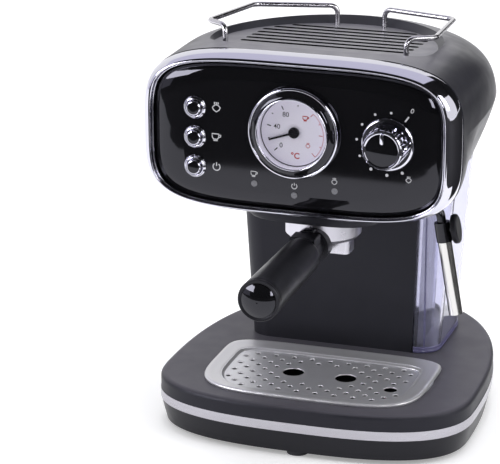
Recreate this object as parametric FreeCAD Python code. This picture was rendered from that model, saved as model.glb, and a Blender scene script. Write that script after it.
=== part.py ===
# Espresso machine with a round gauge, a steam wand and a clear water tank, in millimetres.
# X runs to the right, Y to the back and Z up. The origin is on the table under the middle of the base.
import FreeCAD, Part
import math
import os

V = FreeCAD.Vector
X_AXIS = V(1, 0, 0)
Y_AXIS = V(0, 1, 0)
Z_AXIS = V(0, 0, 1)

# Walls, clearances and drawing steps
WALL = 3.0
SHEET = 0.8
FACE_GAP = 0.3
SLIDE_GAP = 0.5
RUNNING_GAP = 0.05
SCREW_GAP = 0.2
SPILL = 1.0
OUTLINE_STEPS = 48
HEAD_STEPS = 12

# Base
BASE_HALF_WIDTH = 121.0
BASE_DEPTH = 266.0
BASE_FRONT_ROOM = 71.0
BASE_FRONT_POWER = 2.8
BASE_BACK_POWER = 2.4
BASE_BOTTOM_INSET = 4.0
BASE_EDGE_RADIUS = 3.5
FOOT_HEIGHT = 4.0
FOOT_RADIUS = 8.0
LOWER_SHELL_HEIGHT = 17.0
LOWER_FLOOR = 2.5
BAND_HEIGHT = 7.0
BAND_PROUD = 0.3
UPPER_SHELL_HEIGHT = 12.0
FRONT_FOOT_SETBACK = 14.0
SIDE_FOOT_X = 86.0
SIDE_FOOT_SETBACK = 66.0
BACK_FOOT_X = 62.0
BACK_FOOT_SETBACK = 212.0
SCREW_RADIUS = 2.0
SCREW_HEAD_RADIUS = 3.5
SCREW_HEAD_HEIGHT = 2.2
SCREW_LENGTH = 18.0
BOSS_RADIUS = 5.0
SIDE_SCREW_X = 101.0
SIDE_SCREW_SETBACK = 68.0
BACK_SCREW_X = 60.0
BACK_SCREW_SETBACK = 228.0
GLAND_X = 30.0
GLAND_RADIUS = 5.5
GLAND_BORE = 3.2
GLAND_LENGTH = 18.0
GLAND_PROUD = 1.0
GLAND_HEIGHT = 9.0

# Drip tray, grid and float
GRID_HALF_WIDTH = 85.2
GRID_SETBACK = 15.5
GRID_DEPTH = 106.5
GRID_FRONT_ROOM = 67.5
GRID_FRONT_POWER = 4.0
GRID_BACK_POWER = 6.0
GRID_RIM_HEIGHT = 2.0
FIELD_SIDE_INSET = 12.0
FIELD_FRONT_INSET = 8.0
FIELD_BACK_INSET = 15.0
FIELD_DROP = 1.6
TRAY_INSET = 4.0
TRAY_WALL = 2.0
TRAY_DEPTH = 30.0
FLANGE_HEIGHT = 1.2
HOLE_RADIUS = 2.1
HOLE_PITCH_X = 14.5
HOLE_PITCH_Y = 7.2
HOLE_ROWS_EACH_WAY = 5
HOLE_MARGIN = 4.0
SPOUT_HOLE_RADIUS = 8.3
SPOUT_HOLE_X = 20.6
SPOUT_HOLE_ROOM_X = 25.0
SPOUT_HOLE_ROOM_Y = 17.0
FLOAT_X = 58.7
FLOAT_FRONT = -12.0
FLOAT_HOLE_RADIUS = 5.2
FLOAT_STEM_RADIUS = 4.2
FLOAT_BODY_RADIUS = 9.0
FLOAT_BODY_HEIGHT = 10.0
FLOAT_SUNK = 7.0

# Pillar: column housing and water tank
COLUMN_SETBACK = 137.0
COLUMN_DEPTH = 58.0
PILLAR_HEIGHT = 146.0
PILLAR_HALF_TOP = 85.5
PILLAR_HALF_BOTTOM = 75.5
PILLAR_SHIFT = -3.0
PILLAR_CORNER = 16.0
COLUMN_RIGHT_TOP = 57.5
COLUMN_RIGHT_BOTTOM = 53.5
COLUMN_BACK_CORNER = 6.0
TANK_GAP = 1.2
TANK_FLOAT_GAP = 0.3
TANK_DEPTH = 46.0
TANK_WALL = 2.5
TANK_BACK_CORNER = 42.0
TANK_LEFT_CORNER = 6.0
LID_HEIGHT = 3.0
LID_GAP = 0.8
MOUTH_HALF_WIDTH = 36.0
MOUTH_MARGIN = 10.0
SOCKET_X = -45.0
SOCKET_HEIGHT = 20.0
SOCKET_RADIUS = 8.0
SPIGOT_RADIUS = 4.9
SPIGOT_BORE = 3.0
SPIGOT_FLANGE_RADIUS = 9.0
SPIGOT_FLANGE = 4.0
SPIGOT_REACH = 5.0

# Pump and hoses
PUMP_RADIUS = 17.5
PUMP_LENGTH = 58.0
PUMP_X = -9.0
PUMP_HEIGHT = 44.0
PUMP_NOSE_RADIUS = 6.0
PUMP_NOSE = 20.0
MOUNT_THICKNESS = 10.0
MOUNT_WIDTH = 20.0
MOUNT_CROWN = 12.0
HOSE_RADIUS = 3.0
HOSE_BORE = 1.5
HOSE_BEND = 5.0
HOSE_RISE_X = 47.0
SUCTION_LEFT = 9.0
SUCTION_FORWARD = 10.0
HOSE_HOLE_RADIUS = 4.5
HOSE_ABOVE_FLOOR = 16.0
BASE_HOSE_HOLE = 14.0

# Head shells
SEAM_SETBACK = 22.0
SEAM_HALF_WIDTH = 117.7
SEAM_HALF_HEIGHT = 59.5
SEAM_POWER = 3.9
SEAM_DROP = 2.3
HEAD_LOWER_HEIGHT = 63.0
HEAD_DEPTH = 235.0
HEAD_BOTTOM_DEPTH = 227.0
HEAD_BOTTOM_HALF_WIDTH = 86.5
HEAD_PLAN_POWER = 2.4
HEAD_BOTTOM_POWER = 5.0
HEAD_RIM_POWER = 1.8
HEAD_BLEND = 90.0
DOME_HEIGHT = 53.3
DOME_CROWN_SETBACK = 80.0
COVER_LEVELS = (0.0, 13.0, 26.0, 36.0, 43.0, 48.0, 51.0, 52.6)
LOWER_LEVELS = (0.0, 4.0, 9.0, 17.0, 29.0, 44.0, 63.0)
DISH_HALF_WIDTH = 89.0
DISH_FRONT_SETBACK = 32.0
DISH_BACK_SETBACK = 185.0
DISH_FRONT_ROOM = 41.0
DISH_FRONT_POWER = 3.5
DISH_BACK_POWER = 2.0
DISH_DRAFT = 8.0
DISH_FLOOR_DROP = 4.0
DISH_SLOPE = 0.078
SLOT_COUNT = 7
SLOT_PITCH = 13.2
SLOT_WIDTH = 5.0
SLOT_HALF_LENGTH = 64.0
SLOT_MARGIN = 3.5
SLOT_FIRST_SETBACK = 73.0

# Cup rails
RAIL_RADIUS = 1.9
RAIL_HEIGHT = 14.5
RAIL_FRONT_X = 67.6
RAIL_FRONT_SETBACK = 49.5
RAIL_CORNER_X = 85.0
RAIL_CORNER_SETBACK = 64.0
RAIL_SIDE_X = 78.0
RAIL_SIDE_SETBACK = 148.5
RAIL_BACK_X = 18.6
RAIL_BACK_SETBACK = 170.5
RAIL_BEND = 6.0
RAIL_CORNER_BEND = 9.0
RAIL_TAIL = 6.0
NUT_RADIUS = 4.0
NUT_HEIGHT = 2.4

# Front bezel and panel
BEZEL_DEPTH = 20.0
BEZEL_INNER_HALF_WIDTH = 107.2
BEZEL_INNER_HALF_HEIGHT = 53.0
BEZEL_INNER_POWER = 4.5
BEZEL_LEDGE = 4.0
BEZEL_LEDGE_DEPTH = 7.5
PANEL_ROLL = 5.5
PANEL_FRONT = 20.0
PANEL_FLAT = 0.78
PANEL_SKIN = 2.5
PANEL_GAP = 0.4

# Gauge
GAUGE_RISE = 6.3
GAUGE_RADIUS = 33.3
GAUGE_BORE = 25.2
GAUGE_HEIGHT = 8.6
GAUGE_EDGE = 4.6
GAUGE_STEP = 1.6
GAUGE_STEP_HEIGHT = 0.8
GAUGE_LIP = 1.0
GAUGE_HOLE_RADIUS = 30.0
CAN_RADIUS = 29.6
CAN_DEPTH = 26.0
CAN_FLANGE = 2.0
DIAL_THICKNESS = 1.0
LENS_RISE = 8.0
LENS_THICKNESS = 0.8
NEEDLE_LENGTH = 19.6
NEEDLE_WIDTH = 1.7
NEEDLE_TIP_WIDTH = 1.2
NEEDLE_THICKNESS = 0.6
NEEDLE_LIFT = 0.8
HUB_RADIUS = 4.0
HUB_HEIGHT = 1.2
NEEDLE_SHAFT_RADIUS = 1.0
NEEDLE_SHAFT = 8.0
NEEDLE_REST = 199.0

# Buttons, lights and board
BUTTON_X = -74.4
BUTTON_DROP = 3.5
BUTTON_PITCH = 21.9
BUTTON_RADIUS = 5.6
BUTTON_PROUD = 5.2
BUTTON_LENGTH = 15.0
BUTTON_STEM_RADIUS = 2.0
BUTTON_STEM = 6.0
BUTTON_TRAVEL = 2.5
BUTTON_RING_RADIUS = 8.4
BUTTON_RING_PROUD = 2.6
BUTTON_BARREL_RADIUS = 7.4
BUTTON_BARREL = 9.0
SWITCH_SIZE = 11.0
SWITCH_DEPTH = 8.0
BOARD_HALF_HEIGHT = 34.0
BOARD_INNER_X = -56.0
BOARD_OUTER_X = -90.0
BOARD_THICKNESS = 1.6
POST_RADIUS = 3.0
POST_INSET = 4.5
LIGHT_RADIUS = 2.3
LIGHT_FLANGE = 3.4
LIGHT_FLANGE_DEPTH = 1.5
LIGHT_PROUD = 0.5
LIGHT_X = 29.9
LIGHT_DROP = 34.4
LIGHT_MIDDLE_DROP = 40.4

# Steam knob and valve
KNOB_X = 68.3
KNOB_RISE = 3.8
KNOB_RADIUS = 15.0
KNOB_DEPTH = 14.0
KNOB_SCALLOPS = 18
KNOB_SCALLOP_RADIUS = 1.6
KNOB_EDGE = 1.2
FLANGE_RADIUS = 19.2
FLANGE_DEPTH = 3.0
STEM_RADIUS = 3.0
STEM_LENGTH = 36.0
STEM_SUNK = 6.0
VALVE_RADIUS = 11.0
VALVE_LENGTH = 28.0
VALVE_NECK_RADIUS = 7.0
VALVE_NECK = 10.0

# Boiler and group
GROUP_SETBACK = 76.0
BOILER_RADIUS = 38.0
BOILER_BASE_HEIGHT = 24.0
BOILER_TOP_RADIUS = 35.0
BOILER_TOP_HEIGHT = 38.0
BOILER_EDGE = 8.0
BOILER_WALL = 5.0
BOILER_NECK_RADIUS = 28.5
THERMOSTAT_RADIUS = 7.0
THERMOSTAT_HEIGHT = 6.0
COLLAR_RADIUS = 41.5
COLLAR_WALL = 3.0
COLLAR_HEIGHT = 10.0
LEDGE_HEIGHT = 2.6
LEDGE_GAP_ANGLE = 60.0
LOCK_TURN = 50.0
GASKET_RADIUS = 32.0
GASKET_BORE = 26.8
GASKET_HEIGHT = 2.8
SCREEN_RADIUS = 26.0
SCREEN_DROP = 1.2
SHOWER_SCREW_RADIUS = 2.0
SHOWER_HEAD_RADIUS = 4.5
SHOWER_HEAD = 1.4
SHOWER_SCREW_LENGTH = 10.0

# Portafilter
CUP_RADIUS = 28.4
CUP_HEIGHT = 31.5
CUP_WALL = 2.2
CUP_FLOOR = 4.0
CUP_CHAMFER = 3.0
RIM_RADIUS = 34.5
RIM_HEIGHT = 10.0
RIM_SLOPE = 3.0
LUG_HEIGHT = 2.6
LUG_ANGLE = 40.0
LUG_LIFT = 0.4
BASKET_WALL = 0.8
BASKET_DEPTH = 25.0
BASKET_GAP = 0.6
BASKET_RIM_RADIUS = 31.0
BASKET_HOLE_RADIUS = 0.8
BASKET_HOLE_RINGS = 3
BASKET_HOLE_PITCH = 6.0
DRAIN_RADIUS = 3.0
SPOUT_HALF_WIDTH = 22.0
SPOUT_OUTLET_X = 14.0
SPOUT_HALF_DEPTH = 9.0
SPOUT_HEIGHT = 11.5
SPOUT_BORE = 4.0
SPOUT_NOTCH = 12.0
SPOUT_NOTCH_HEIGHT = 4.0
SPOUT_CORNER = 4.0
SPOUT_CHANNEL = 6.0
HANDLE_RISE = 0.5
NECK_RADIUS = 13.5
NECK_FLANGE = 5.0
NECK_WAIST_RADIUS = 10.5
NECK_LENGTH = 20.0
NECK_TUCK = 9.0
STUB_RADIUS = 7.5
STUB_LENGTH = 5.0
GRIP_LENGTH = 103.0
GRIP_FRONT_RADIUS = 15.4
GRIP_BACK_RADIUS = 14.0
GRIP_EDGE = 1.2
GRIP_STEP = 4.0
GRIP_STEP_RADIUS = 12.0
CAP_RADIUS = 12.4
CAP_DEPTH = 3.0
CAP_DOME = 3.5
HANDLE_BOLT_RADIUS = 3.0
HANDLE_BOLT_HEAD = 6.0
HANDLE_BOLT_HEAD_DEPTH = 3.0

# Steam wand
WAND_X = 75.0
WAND_SETBACK = 103.0
WAND_STUB_RADIUS = 4.5
WAND_PIPE_RADIUS = 3.4
WAND_BEND = 6.0
WAND_DROP = 11.0
SLEEVE_X = 83.5
SLEEVE_DROP = 26.0
SLEEVE_RADIUS = 5.9
SLEEVE_LENGTH = 15.0
WAND_LEAN = 10.0
WAND_TUBE_RADIUS = 5.3
WAND_TUBE_BORE = 3.6
WAND_TUBE_LENGTH = 57.0
BUSH_RADIUS = 9.0
BUSH_HEIGHT = 6.0
WAND_CLIP_RADIUS = 7.5
WAND_CLIP_HEIGHT = 2.0
PADDLE_HALF_WIDTH = 8.0
PADDLE_HALF_HEIGHT = 11.3
PADDLE_THICKNESS = 5.0
PADDLE_EDGE = 1.8
PADDLE_STEM_RADIUS = 2.5
PADDLE_STEM = 1.5
PADDLE_DROP = 6.0

# Heights and stations that follow from the sizes above
base_front = -BASE_DEPTH / 2
base_back = BASE_DEPTH / 2
base_widest = base_front + BASE_FRONT_ROOM
lower_floor_top = FOOT_HEIGHT + LOWER_FLOOR
band_bottom = FOOT_HEIGHT + LOWER_SHELL_HEIGHT
band_top = band_bottom + BAND_HEIGHT
base_top = band_top + UPPER_SHELL_HEIGHT
grid_front = base_front + GRID_SETBACK
grid_widest = grid_front + GRID_FRONT_ROOM
grid_back = grid_front + GRID_DEPTH
flange_top = base_top + FLANGE_HEIGHT
grid_top = flange_top + SHEET
tray_bottom = base_top - TRAY_DEPTH
column_front = base_front + COLUMN_SETBACK
column_back = column_front + COLUMN_DEPTH
tank_front = column_back + TANK_GAP
tank_back = tank_front + TANK_DEPTH
head_bottom = base_top + PILLAR_HEIGHT
tank_bottom = base_top + TANK_FLOAT_GAP
tank_top = head_bottom - LID_GAP - LID_HEIGHT
head_floor = head_bottom + WALL
seam_y = base_front + SEAM_SETBACK
seam_middle = head_bottom - SEAM_DROP + SEAM_HALF_HEIGHT
parting = head_bottom + HEAD_LOWER_HEIGHT
bezel_front = seam_y - BEZEL_DEPTH
panel_front = seam_y - PANEL_FRONT
panel_edge = panel_front + PANEL_ROLL
panel_inside = panel_front + PANEL_SKIN
ledge_front = seam_y - BEZEL_LEDGE_DEPTH
gauge_z = seam_middle + GAUGE_RISE
dial_front = panel_front - DIAL_THICKNESS
button_z = seam_middle - BUTTON_DROP
button_levels = [button_z + BUTTON_PITCH * step for step in (1, 0, -1)]
knob_z = seam_middle + KNOB_RISE
knob_back = panel_front - FLANGE_DEPTH - FACE_GAP
knob_front = knob_back - KNOB_DEPTH
group_y = base_front + GROUP_SETBACK
spout_hole_y = (grid_front + grid_back) / 2
float_y = spout_hole_y + FLOAT_FRONT
cup_top = head_bottom - GASKET_HEIGHT - FACE_GAP - SHEET
cup_bottom = cup_top - CUP_HEIGHT
handle_z = cup_bottom + HANDLE_RISE
collar_bottom = head_bottom - COLLAR_HEIGHT
lug_bottom = collar_bottom + LEDGE_HEIGHT + LUG_LIFT
wand_y = base_front + WAND_SETBACK
head_back = seam_y + HEAD_DEPTH
dome_crown = base_front + DOME_CROWN_SETBACK
dish_front = base_front + DISH_FRONT_SETBACK
dish_widest = dish_front + DISH_FRONT_ROOM
dish_back = base_front + DISH_BACK_SETBACK
seam_top = seam_middle + SEAM_HALF_HEIGHT
pump_y = (column_front + column_back) / 2
pump_z = base_top + PUMP_HEIGHT
socket_z = base_top + SOCKET_HEIGHT
boiler_split = head_floor + BOILER_BASE_HEIGHT
switch_front = panel_front - BUTTON_PROUD + BUTTON_LENGTH + BUTTON_STEM + BUTTON_TRAVEL + FACE_GAP
board_front = switch_front + SWITCH_DEPTH


# Small builders
def signed_power(value, power):
    return math.copysign(abs(value) ** power, value)


def box(x_low, x_high, y_low, y_high, z_low, z_high):
    return Part.makeBox(x_high - x_low, y_high - y_low, z_high - z_low, V(x_low, y_low, z_low))


def post(radius, x, y, z_low, z_high):
    return Part.makeCylinder(radius, z_high - z_low, V(x, y, z_low), Z_AXIS)


def bar(radius, x, z, y_low, y_high):
    return Part.makeCylinder(radius, y_high - y_low, V(x, y_low, z), Y_AXIS)


def closed_spline(points):
    curve = Part.BSplineCurve()
    curve.interpolate(Points=points, PeriodicFlag=True)
    return Part.Wire([curve.toShape()])


def polygon(points):
    return Part.makePolygon(points + points[:1])


def turned(profile, x, y, z, axis):
    # Profile points are (radius, place along the axis), turned round an upright or a front-to-back line.
    upright = axis is Z_AXIS
    corners = [V(x + r, y, s) if upright else V(x + r, s, z) for r, s in profile]
    return Part.Face(polygon(corners)).revolve(V(x, y, z), axis, 360)


def loft(wires, ruled=False):
    return Part.makeLoft(wires, True, ruled)


def prism(wire, height):
    return Part.Face(wire).extrude(V(0, 0, height))


def joined(shapes):
    whole = shapes[0].fuse(shapes[1:])
    return whole.removeSplitter()


def rounded(shape, radius, wanted):
    return shape.makeFillet(radius, [edge for edge in shape.Edges if wanted(edge.BoundBox)])


def egg_points(half_width, front, widest, back, front_power, back_power):
    points = []
    for step in range(OUTLINE_STEPS):
        angle = 2 * math.pi * step / OUTLINE_STEPS
        behind = math.sin(angle) > 0
        power = back_power if behind else front_power
        reach = back - widest if behind else widest - front
        x = half_width * signed_power(math.cos(angle), 2 / power)
        points.append((x, widest + reach * signed_power(math.sin(angle), 2 / power)))
    return points


def base_wire(inset, z):
    spots = egg_points(BASE_HALF_WIDTH - inset, base_front + inset, base_widest, base_back - inset,
                       BASE_FRONT_POWER, BASE_BACK_POWER)
    return closed_spline([V(x, y, z) for x, y in spots])


def grid_wire(inset, z):
    spots = egg_points(GRID_HALF_WIDTH - inset, grid_front + inset, grid_widest, grid_back - inset,
                       GRID_FRONT_POWER, GRID_BACK_POWER)
    return closed_spline([V(x, y, z) for x, y in spots])


def field_wire(outset, z):
    spots = egg_points(GRID_HALF_WIDTH - FIELD_SIDE_INSET + outset, grid_front + FIELD_FRONT_INSET - outset,
                       grid_widest, grid_back - FIELD_BACK_INSET + outset, GRID_FRONT_POWER, GRID_BACK_POWER)
    return closed_spline([V(x, y, z) for x, y in spots])


def rounded_path(corners, radii):
    edges = []
    start = corners[0]
    for before, corner, after, radius in zip(corners, corners[1:], corners[2:], radii):
        arrive = (corner - before).normalize()
        leave = (after - corner).normalize()
        half_turn = arrive.getAngle(leave) / 2
        cut = radius * math.tan(half_turn)
        inward = (leave - arrive).normalize()
        middle = corner + inward * (radius / math.cos(half_turn) - radius)
        edges.append(Part.LineSegment(start, corner - arrive * cut).toShape())
        edges.append(Part.Arc(corner - arrive * cut, middle, corner + leave * cut).toShape())
        start = corner + leave * cut
    edges.append(Part.LineSegment(start, corners[-1]).toShape())
    return Part.Wire(edges)


def pipe(corners, radii, radius):
    circle = Part.Wire([Part.makeCircle(radius, corners[0], corners[1] - corners[0])])
    return rounded_path(corners, radii).makePipeShell([circle], True, False)


def hose(corners):
    radii = [HOSE_BEND] * (len(corners) - 2)
    return pipe(corners, radii, HOSE_RADIUS).cut(pipe(corners, radii, HOSE_BORE))


# Base
def screw_spots():
    side = base_front + SIDE_SCREW_SETBACK
    rear = base_front + BACK_SCREW_SETBACK
    return [(-SIDE_SCREW_X, side), (SIDE_SCREW_X, side), (-BACK_SCREW_X, rear), (BACK_SCREW_X, rear)]


def foot_spots():
    side = base_front + SIDE_FOOT_SETBACK
    rear = base_front + BACK_FOOT_SETBACK
    return [(0, base_front + FRONT_FOOT_SETBACK), (-SIDE_FOOT_X, side), (SIDE_FOOT_X, side),
            (-BACK_FOOT_X, rear), (BACK_FOOT_X, rear), (0, base_front + BASE_DEPTH / 2)]


def gland_hole(radius, y_low, y_high):
    return bar(radius, GLAND_X, FOOT_HEIGHT + GLAND_HEIGHT, y_low, y_high)


def base_lower_shell():
    shell = loft([base_wire(BASE_BOTTOM_INSET, FOOT_HEIGHT), base_wire(0, band_bottom)], True)
    shell = shell.cut(prism(base_wire(BASE_BOTTOM_INSET + WALL, lower_floor_top), LOWER_SHELL_HEIGHT))
    for x, y in screw_spots():
        shell = shell.cut(post(SCREW_RADIUS + SCREW_GAP, x, y, FOOT_HEIGHT - SPILL, lower_floor_top + SPILL))
    return shell.cut(gland_hole(GLAND_RADIUS, base_back - 2 * GLAND_LENGTH, base_back + GLAND_LENGTH))


def base_trim_band():
    ring = prism(base_wire(-BAND_PROUD, band_bottom), BAND_HEIGHT)
    return ring.cut(prism(base_wire(WALL, band_bottom), BAND_HEIGHT))


def base_top_cover():
    cover = prism(base_wire(0, band_top), UPPER_SHELL_HEIGHT)
    cover = rounded(cover, BASE_EDGE_RADIUS, lambda edge: edge.ZMin > base_top - FACE_GAP)
    cover = cover.cut(prism(base_wire(WALL + BASE_EDGE_RADIUS / 2, band_top), UPPER_SHELL_HEIGHT - WALL))
    bosses = [post(BOSS_RADIUS, x, y, lower_floor_top, base_top - WALL) for x, y in screw_spots()]
    cover = joined([cover] + bosses)
    for x, y in screw_spots():
        hole_top = FOOT_HEIGHT + SCREW_LENGTH + SPILL
        cover = cover.cut(post(SCREW_RADIUS + SCREW_GAP, x, y, FOOT_HEIGHT, hole_top))
    cover = cover.cut(prism(grid_wire(TRAY_INSET - SLIDE_GAP, band_top), UPPER_SHELL_HEIGHT))
    return cover.cut(post(BASE_HOSE_HOLE, HOSE_RISE_X - BASE_HOSE_HOLE * 2, pump_y, band_top, base_top))


def feet():
    return Part.makeCompound([post(FOOT_RADIUS, x, y, 0, FOOT_HEIGHT) for x, y in foot_spots()])


def base_screws():
    screws = []
    for x, y in screw_spots():
        head = post(SCREW_HEAD_RADIUS, x, y, FOOT_HEIGHT - SCREW_HEAD_HEIGHT, FOOT_HEIGHT)
        screws.append(joined([head, post(SCREW_RADIUS, x, y, FOOT_HEIGHT, FOOT_HEIGHT + SCREW_LENGTH)]))
    return Part.makeCompound(screws)


def cord_gland():
    back = base_back + GLAND_PROUD
    return gland_hole(GLAND_RADIUS, back - GLAND_LENGTH, back).cut(
        gland_hole(GLAND_BORE, back - 2 * GLAND_LENGTH, back + GLAND_LENGTH))


# Drip tray
def drip_tray():
    wall = prism(grid_wire(TRAY_INSET, tray_bottom), TRAY_DEPTH + FLANGE_HEIGHT)
    flange = prism(grid_wire(SHEET + FACE_GAP, base_top), FLANGE_HEIGHT)
    inside = prism(grid_wire(TRAY_INSET + TRAY_WALL, tray_bottom + TRAY_WALL), TRAY_DEPTH + FLANGE_HEIGHT)
    return joined([wall, flange]).cut(inside)


def small_hole_spots():
    inner = GRID_HALF_WIDTH - FIELD_SIDE_INSET - HOLE_MARGIN
    ahead = grid_widest - grid_front - FIELD_FRONT_INSET - HOLE_MARGIN
    behind = grid_back - FIELD_BACK_INSET - HOLE_MARGIN - grid_widest
    across = int(inner / HOLE_PITCH_X) + 1
    spots = []
    for row in range(-HOLE_ROWS_EACH_WAY, HOLE_ROWS_EACH_WAY + 1):
        y = spout_hole_y + row * HOLE_PITCH_Y
        shift = 0 if row % 2 == 0 else HOLE_PITCH_X / 2
        for column in range(-across, across + 1):
            x = column * HOLE_PITCH_X + shift
            reach, power = (behind, GRID_BACK_POWER) if y > grid_widest else (ahead, GRID_FRONT_POWER)
            if abs(x / inner) ** power + abs((y - grid_widest) / reach) ** power > 1:
                continue
            if abs(x) < SPOUT_HOLE_ROOM_X and abs(y - spout_hole_y) < SPOUT_HOLE_ROOM_Y:
                continue
            if math.hypot(abs(x) - SPOUT_HOLE_X, y - spout_hole_y) < SPOUT_HOLE_RADIUS + 2 * HOLE_RADIUS:
                continue
            if math.hypot(x - FLOAT_X, y - float_y) < FLOAT_HOLE_RADIUS + 2 * HOLE_RADIUS:
                continue
            spots.append((x, y))
    return spots


def drip_grid():
    floor_top = grid_top - FIELD_DROP
    rim = prism(grid_wire(0, base_top + FACE_GAP), grid_top - base_top - FACE_GAP)
    rim = rim.cut(prism(grid_wire(SHEET, base_top), FLANGE_HEIGHT))
    rim = rim.cut(prism(field_wire(0, base_top), GRID_RIM_HEIGHT + SPILL))
    step = prism(field_wire(SHEET, floor_top - SHEET), FIELD_DROP + SHEET)
    step = step.cut(prism(field_wire(0, floor_top), FIELD_DROP))
    low, high = floor_top - 2 * SHEET, floor_top + SHEET
    holes = [post(HOLE_RADIUS, x, y, low, high) for x, y in small_hole_spots()]
    holes += [post(SPOUT_HOLE_RADIUS, x, spout_hole_y, low, high) for x in (-SPOUT_HOLE_X, SPOUT_HOLE_X)]
    holes.append(post(FLOAT_HOLE_RADIUS, FLOAT_X, float_y, low, high))
    return joined([rim, step]).cut(Part.makeCompound(holes))


def tray_float():
    floor = tray_bottom + TRAY_WALL
    top = grid_top - FIELD_DROP - FLOAT_SUNK
    return joined([post(FLOAT_BODY_RADIUS, FLOAT_X, float_y, floor, floor + FLOAT_BODY_HEIGHT),
                   post(FLOAT_STEM_RADIUS, FLOAT_X, float_y, floor, top)])


# Pillar
def pillar_half(z):
    return PILLAR_HALF_BOTTOM + (PILLAR_HALF_TOP - PILLAR_HALF_BOTTOM) * (z - base_top) / PILLAR_HEIGHT


def column_right(z):
    return COLUMN_RIGHT_BOTTOM + (COLUMN_RIGHT_TOP - COLUMN_RIGHT_BOTTOM) * (z - base_top) / PILLAR_HEIGHT


def cornered_wire(corners, z):
    # Corners are (x, y, radius), with a radius of nought for a sharp one, all in order round the outline.
    edges = []
    joints = []
    for index, (x, y, radius) in enumerate(corners):
        last_x, last_y, _ = corners[index - 1]
        next_x, next_y, _ = corners[(index + 1) % len(corners)]
        spot = V(x, y, z)
        before = (V(last_x, last_y, z) - spot).normalize()
        after = (V(next_x, next_y, z) - spot).normalize()
        half = before.getAngle(after) / 2
        cut = radius / math.tan(half)
        middle = spot + (before + after).normalize() * (radius / math.sin(half) - radius)
        joints.append((spot + before * cut, middle, spot + after * cut, radius))
    for here, following in zip(joints, joints[1:] + joints[:1]):
        if here[3] > 0:
            edges.append(Part.Arc(here[0], here[1], here[2]).toShape())
        edges.append(Part.LineSegment(here[2], following[0]).toShape())
    return Part.Wire(edges)


def column_wire(inset, z):
    left = PILLAR_SHIFT - pillar_half(z) + inset
    right = column_right(z) - inset
    front, back = column_front + inset, column_back - inset
    return cornered_wire([(left, front, PILLAR_CORNER - inset), (right, front, 0), (right, back, 0),
                          (left, back, COLUMN_BACK_CORNER - inset)], z)


def tank_wire(inset, z):
    left = PILLAR_SHIFT - pillar_half(z) + inset
    right = PILLAR_SHIFT + pillar_half(z) - inset
    inner = column_right(z) + TANK_GAP + inset
    back = tank_back - inset
    arm_front = column_front + inset
    front = tank_front + inset
    round_back = TANK_BACK_CORNER - inset
    return cornered_wire([(inner, arm_front, 0), (right, arm_front, PILLAR_CORNER - inset),
                          (right, back, round_back), (left, back, round_back),
                          (left, front, 0), (inner, front, 0)], z)


def column_housing():
    shell = loft([column_wire(0, base_top), column_wire(0, head_bottom)], True)
    inside = [column_wire(WALL, base_top - SPILL), column_wire(WALL, head_bottom + SPILL)]
    shell = shell.cut(loft(inside, True))
    return shell.cut(bar(SOCKET_RADIUS, SOCKET_X, socket_z, column_back - 2 * WALL, column_back + SPILL))


def tank_socket():
    inner = column_back - WALL
    return bar(SOCKET_RADIUS, SOCKET_X, socket_z, inner, column_back).cut(
        bar(SPIGOT_RADIUS + FACE_GAP, SOCKET_X, socket_z, inner - SPILL, column_back + SPILL))


def water_tank():
    shell = loft([tank_wire(0, tank_bottom), tank_wire(0, tank_top)], True)
    inside = [tank_wire(TANK_WALL, tank_bottom + TANK_WALL), tank_wire(TANK_WALL, tank_top + SPILL)]
    shell = shell.cut(loft(inside, True))
    return shell.cut(bar(SPIGOT_RADIUS, SOCKET_X, socket_z, tank_front - SPILL, tank_front + 2 * TANK_WALL))


def tank_lid():
    lid = loft([tank_wire(0, tank_top), tank_wire(0, tank_top + LID_HEIGHT)], True)
    return lid.cut(box(-MOUTH_HALF_WIDTH, MOUTH_HALF_WIDTH, tank_front + MOUTH_MARGIN, tank_back - MOUTH_MARGIN,
                       tank_top, tank_top + LID_HEIGHT))


def tank_valve():
    inside = tank_front + TANK_WALL
    nose = column_back - SPIGOT_REACH
    body = joined([bar(SPIGOT_RADIUS, SOCKET_X, socket_z, nose, inside),
                   bar(SPIGOT_FLANGE_RADIUS, SOCKET_X, socket_z, inside, inside + SPIGOT_FLANGE)])
    return body.cut(bar(SPIGOT_BORE, SOCKET_X, socket_z, nose - SPILL, inside + SPIGOT_FLANGE + SPILL))


# Pump and hoses
def lying(radius, x_low, x_high):
    return Part.makeCylinder(radius, x_high - x_low, V(x_low, pump_y, pump_z), X_AXIS)


pump_left = PUMP_X - PUMP_LENGTH / 2
pump_right = PUMP_X + PUMP_LENGTH / 2


def pump():
    return joined([lying(PUMP_RADIUS, pump_left, pump_right),
                   lying(PUMP_NOSE_RADIUS, pump_left - PUMP_NOSE, pump_right + PUMP_NOSE)])


def pump_mounts():
    mounts = []
    half = MOUNT_WIDTH / 2
    for left in (pump_left - MOUNT_THICKNESS, pump_right):
        right = left + MOUNT_THICKNESS
        block = box(left, right, pump_y - half, pump_y + half, base_top, pump_z + MOUNT_CROWN)
        mounts.append(block.cut(lying(PUMP_NOSE_RADIUS, left, right)))
    return Part.makeCompound(mounts)


def suction_hose():
    inlet = pump_left - PUMP_NOSE
    left = inlet - SUCTION_LEFT
    back = column_back - SPIGOT_REACH - FACE_GAP
    turn = back - SUCTION_FORWARD
    return hose([V(SOCKET_X, back, socket_z), V(SOCKET_X, turn, socket_z), V(left, turn, socket_z),
                 V(left, pump_y, socket_z + SUCTION_FORWARD), V(left, pump_y, pump_z),
                 V(inlet, pump_y, pump_z)])


def pressure_hose():
    level = head_floor + HOSE_ABOVE_FLOOR
    return hose([V(pump_right + PUMP_NOSE, pump_y, pump_z), V(HOSE_RISE_X, pump_y, pump_z),
                 V(HOSE_RISE_X, pump_y, level), V(0, pump_y, level), V(0, group_y + BOILER_RADIUS, level)])


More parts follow.
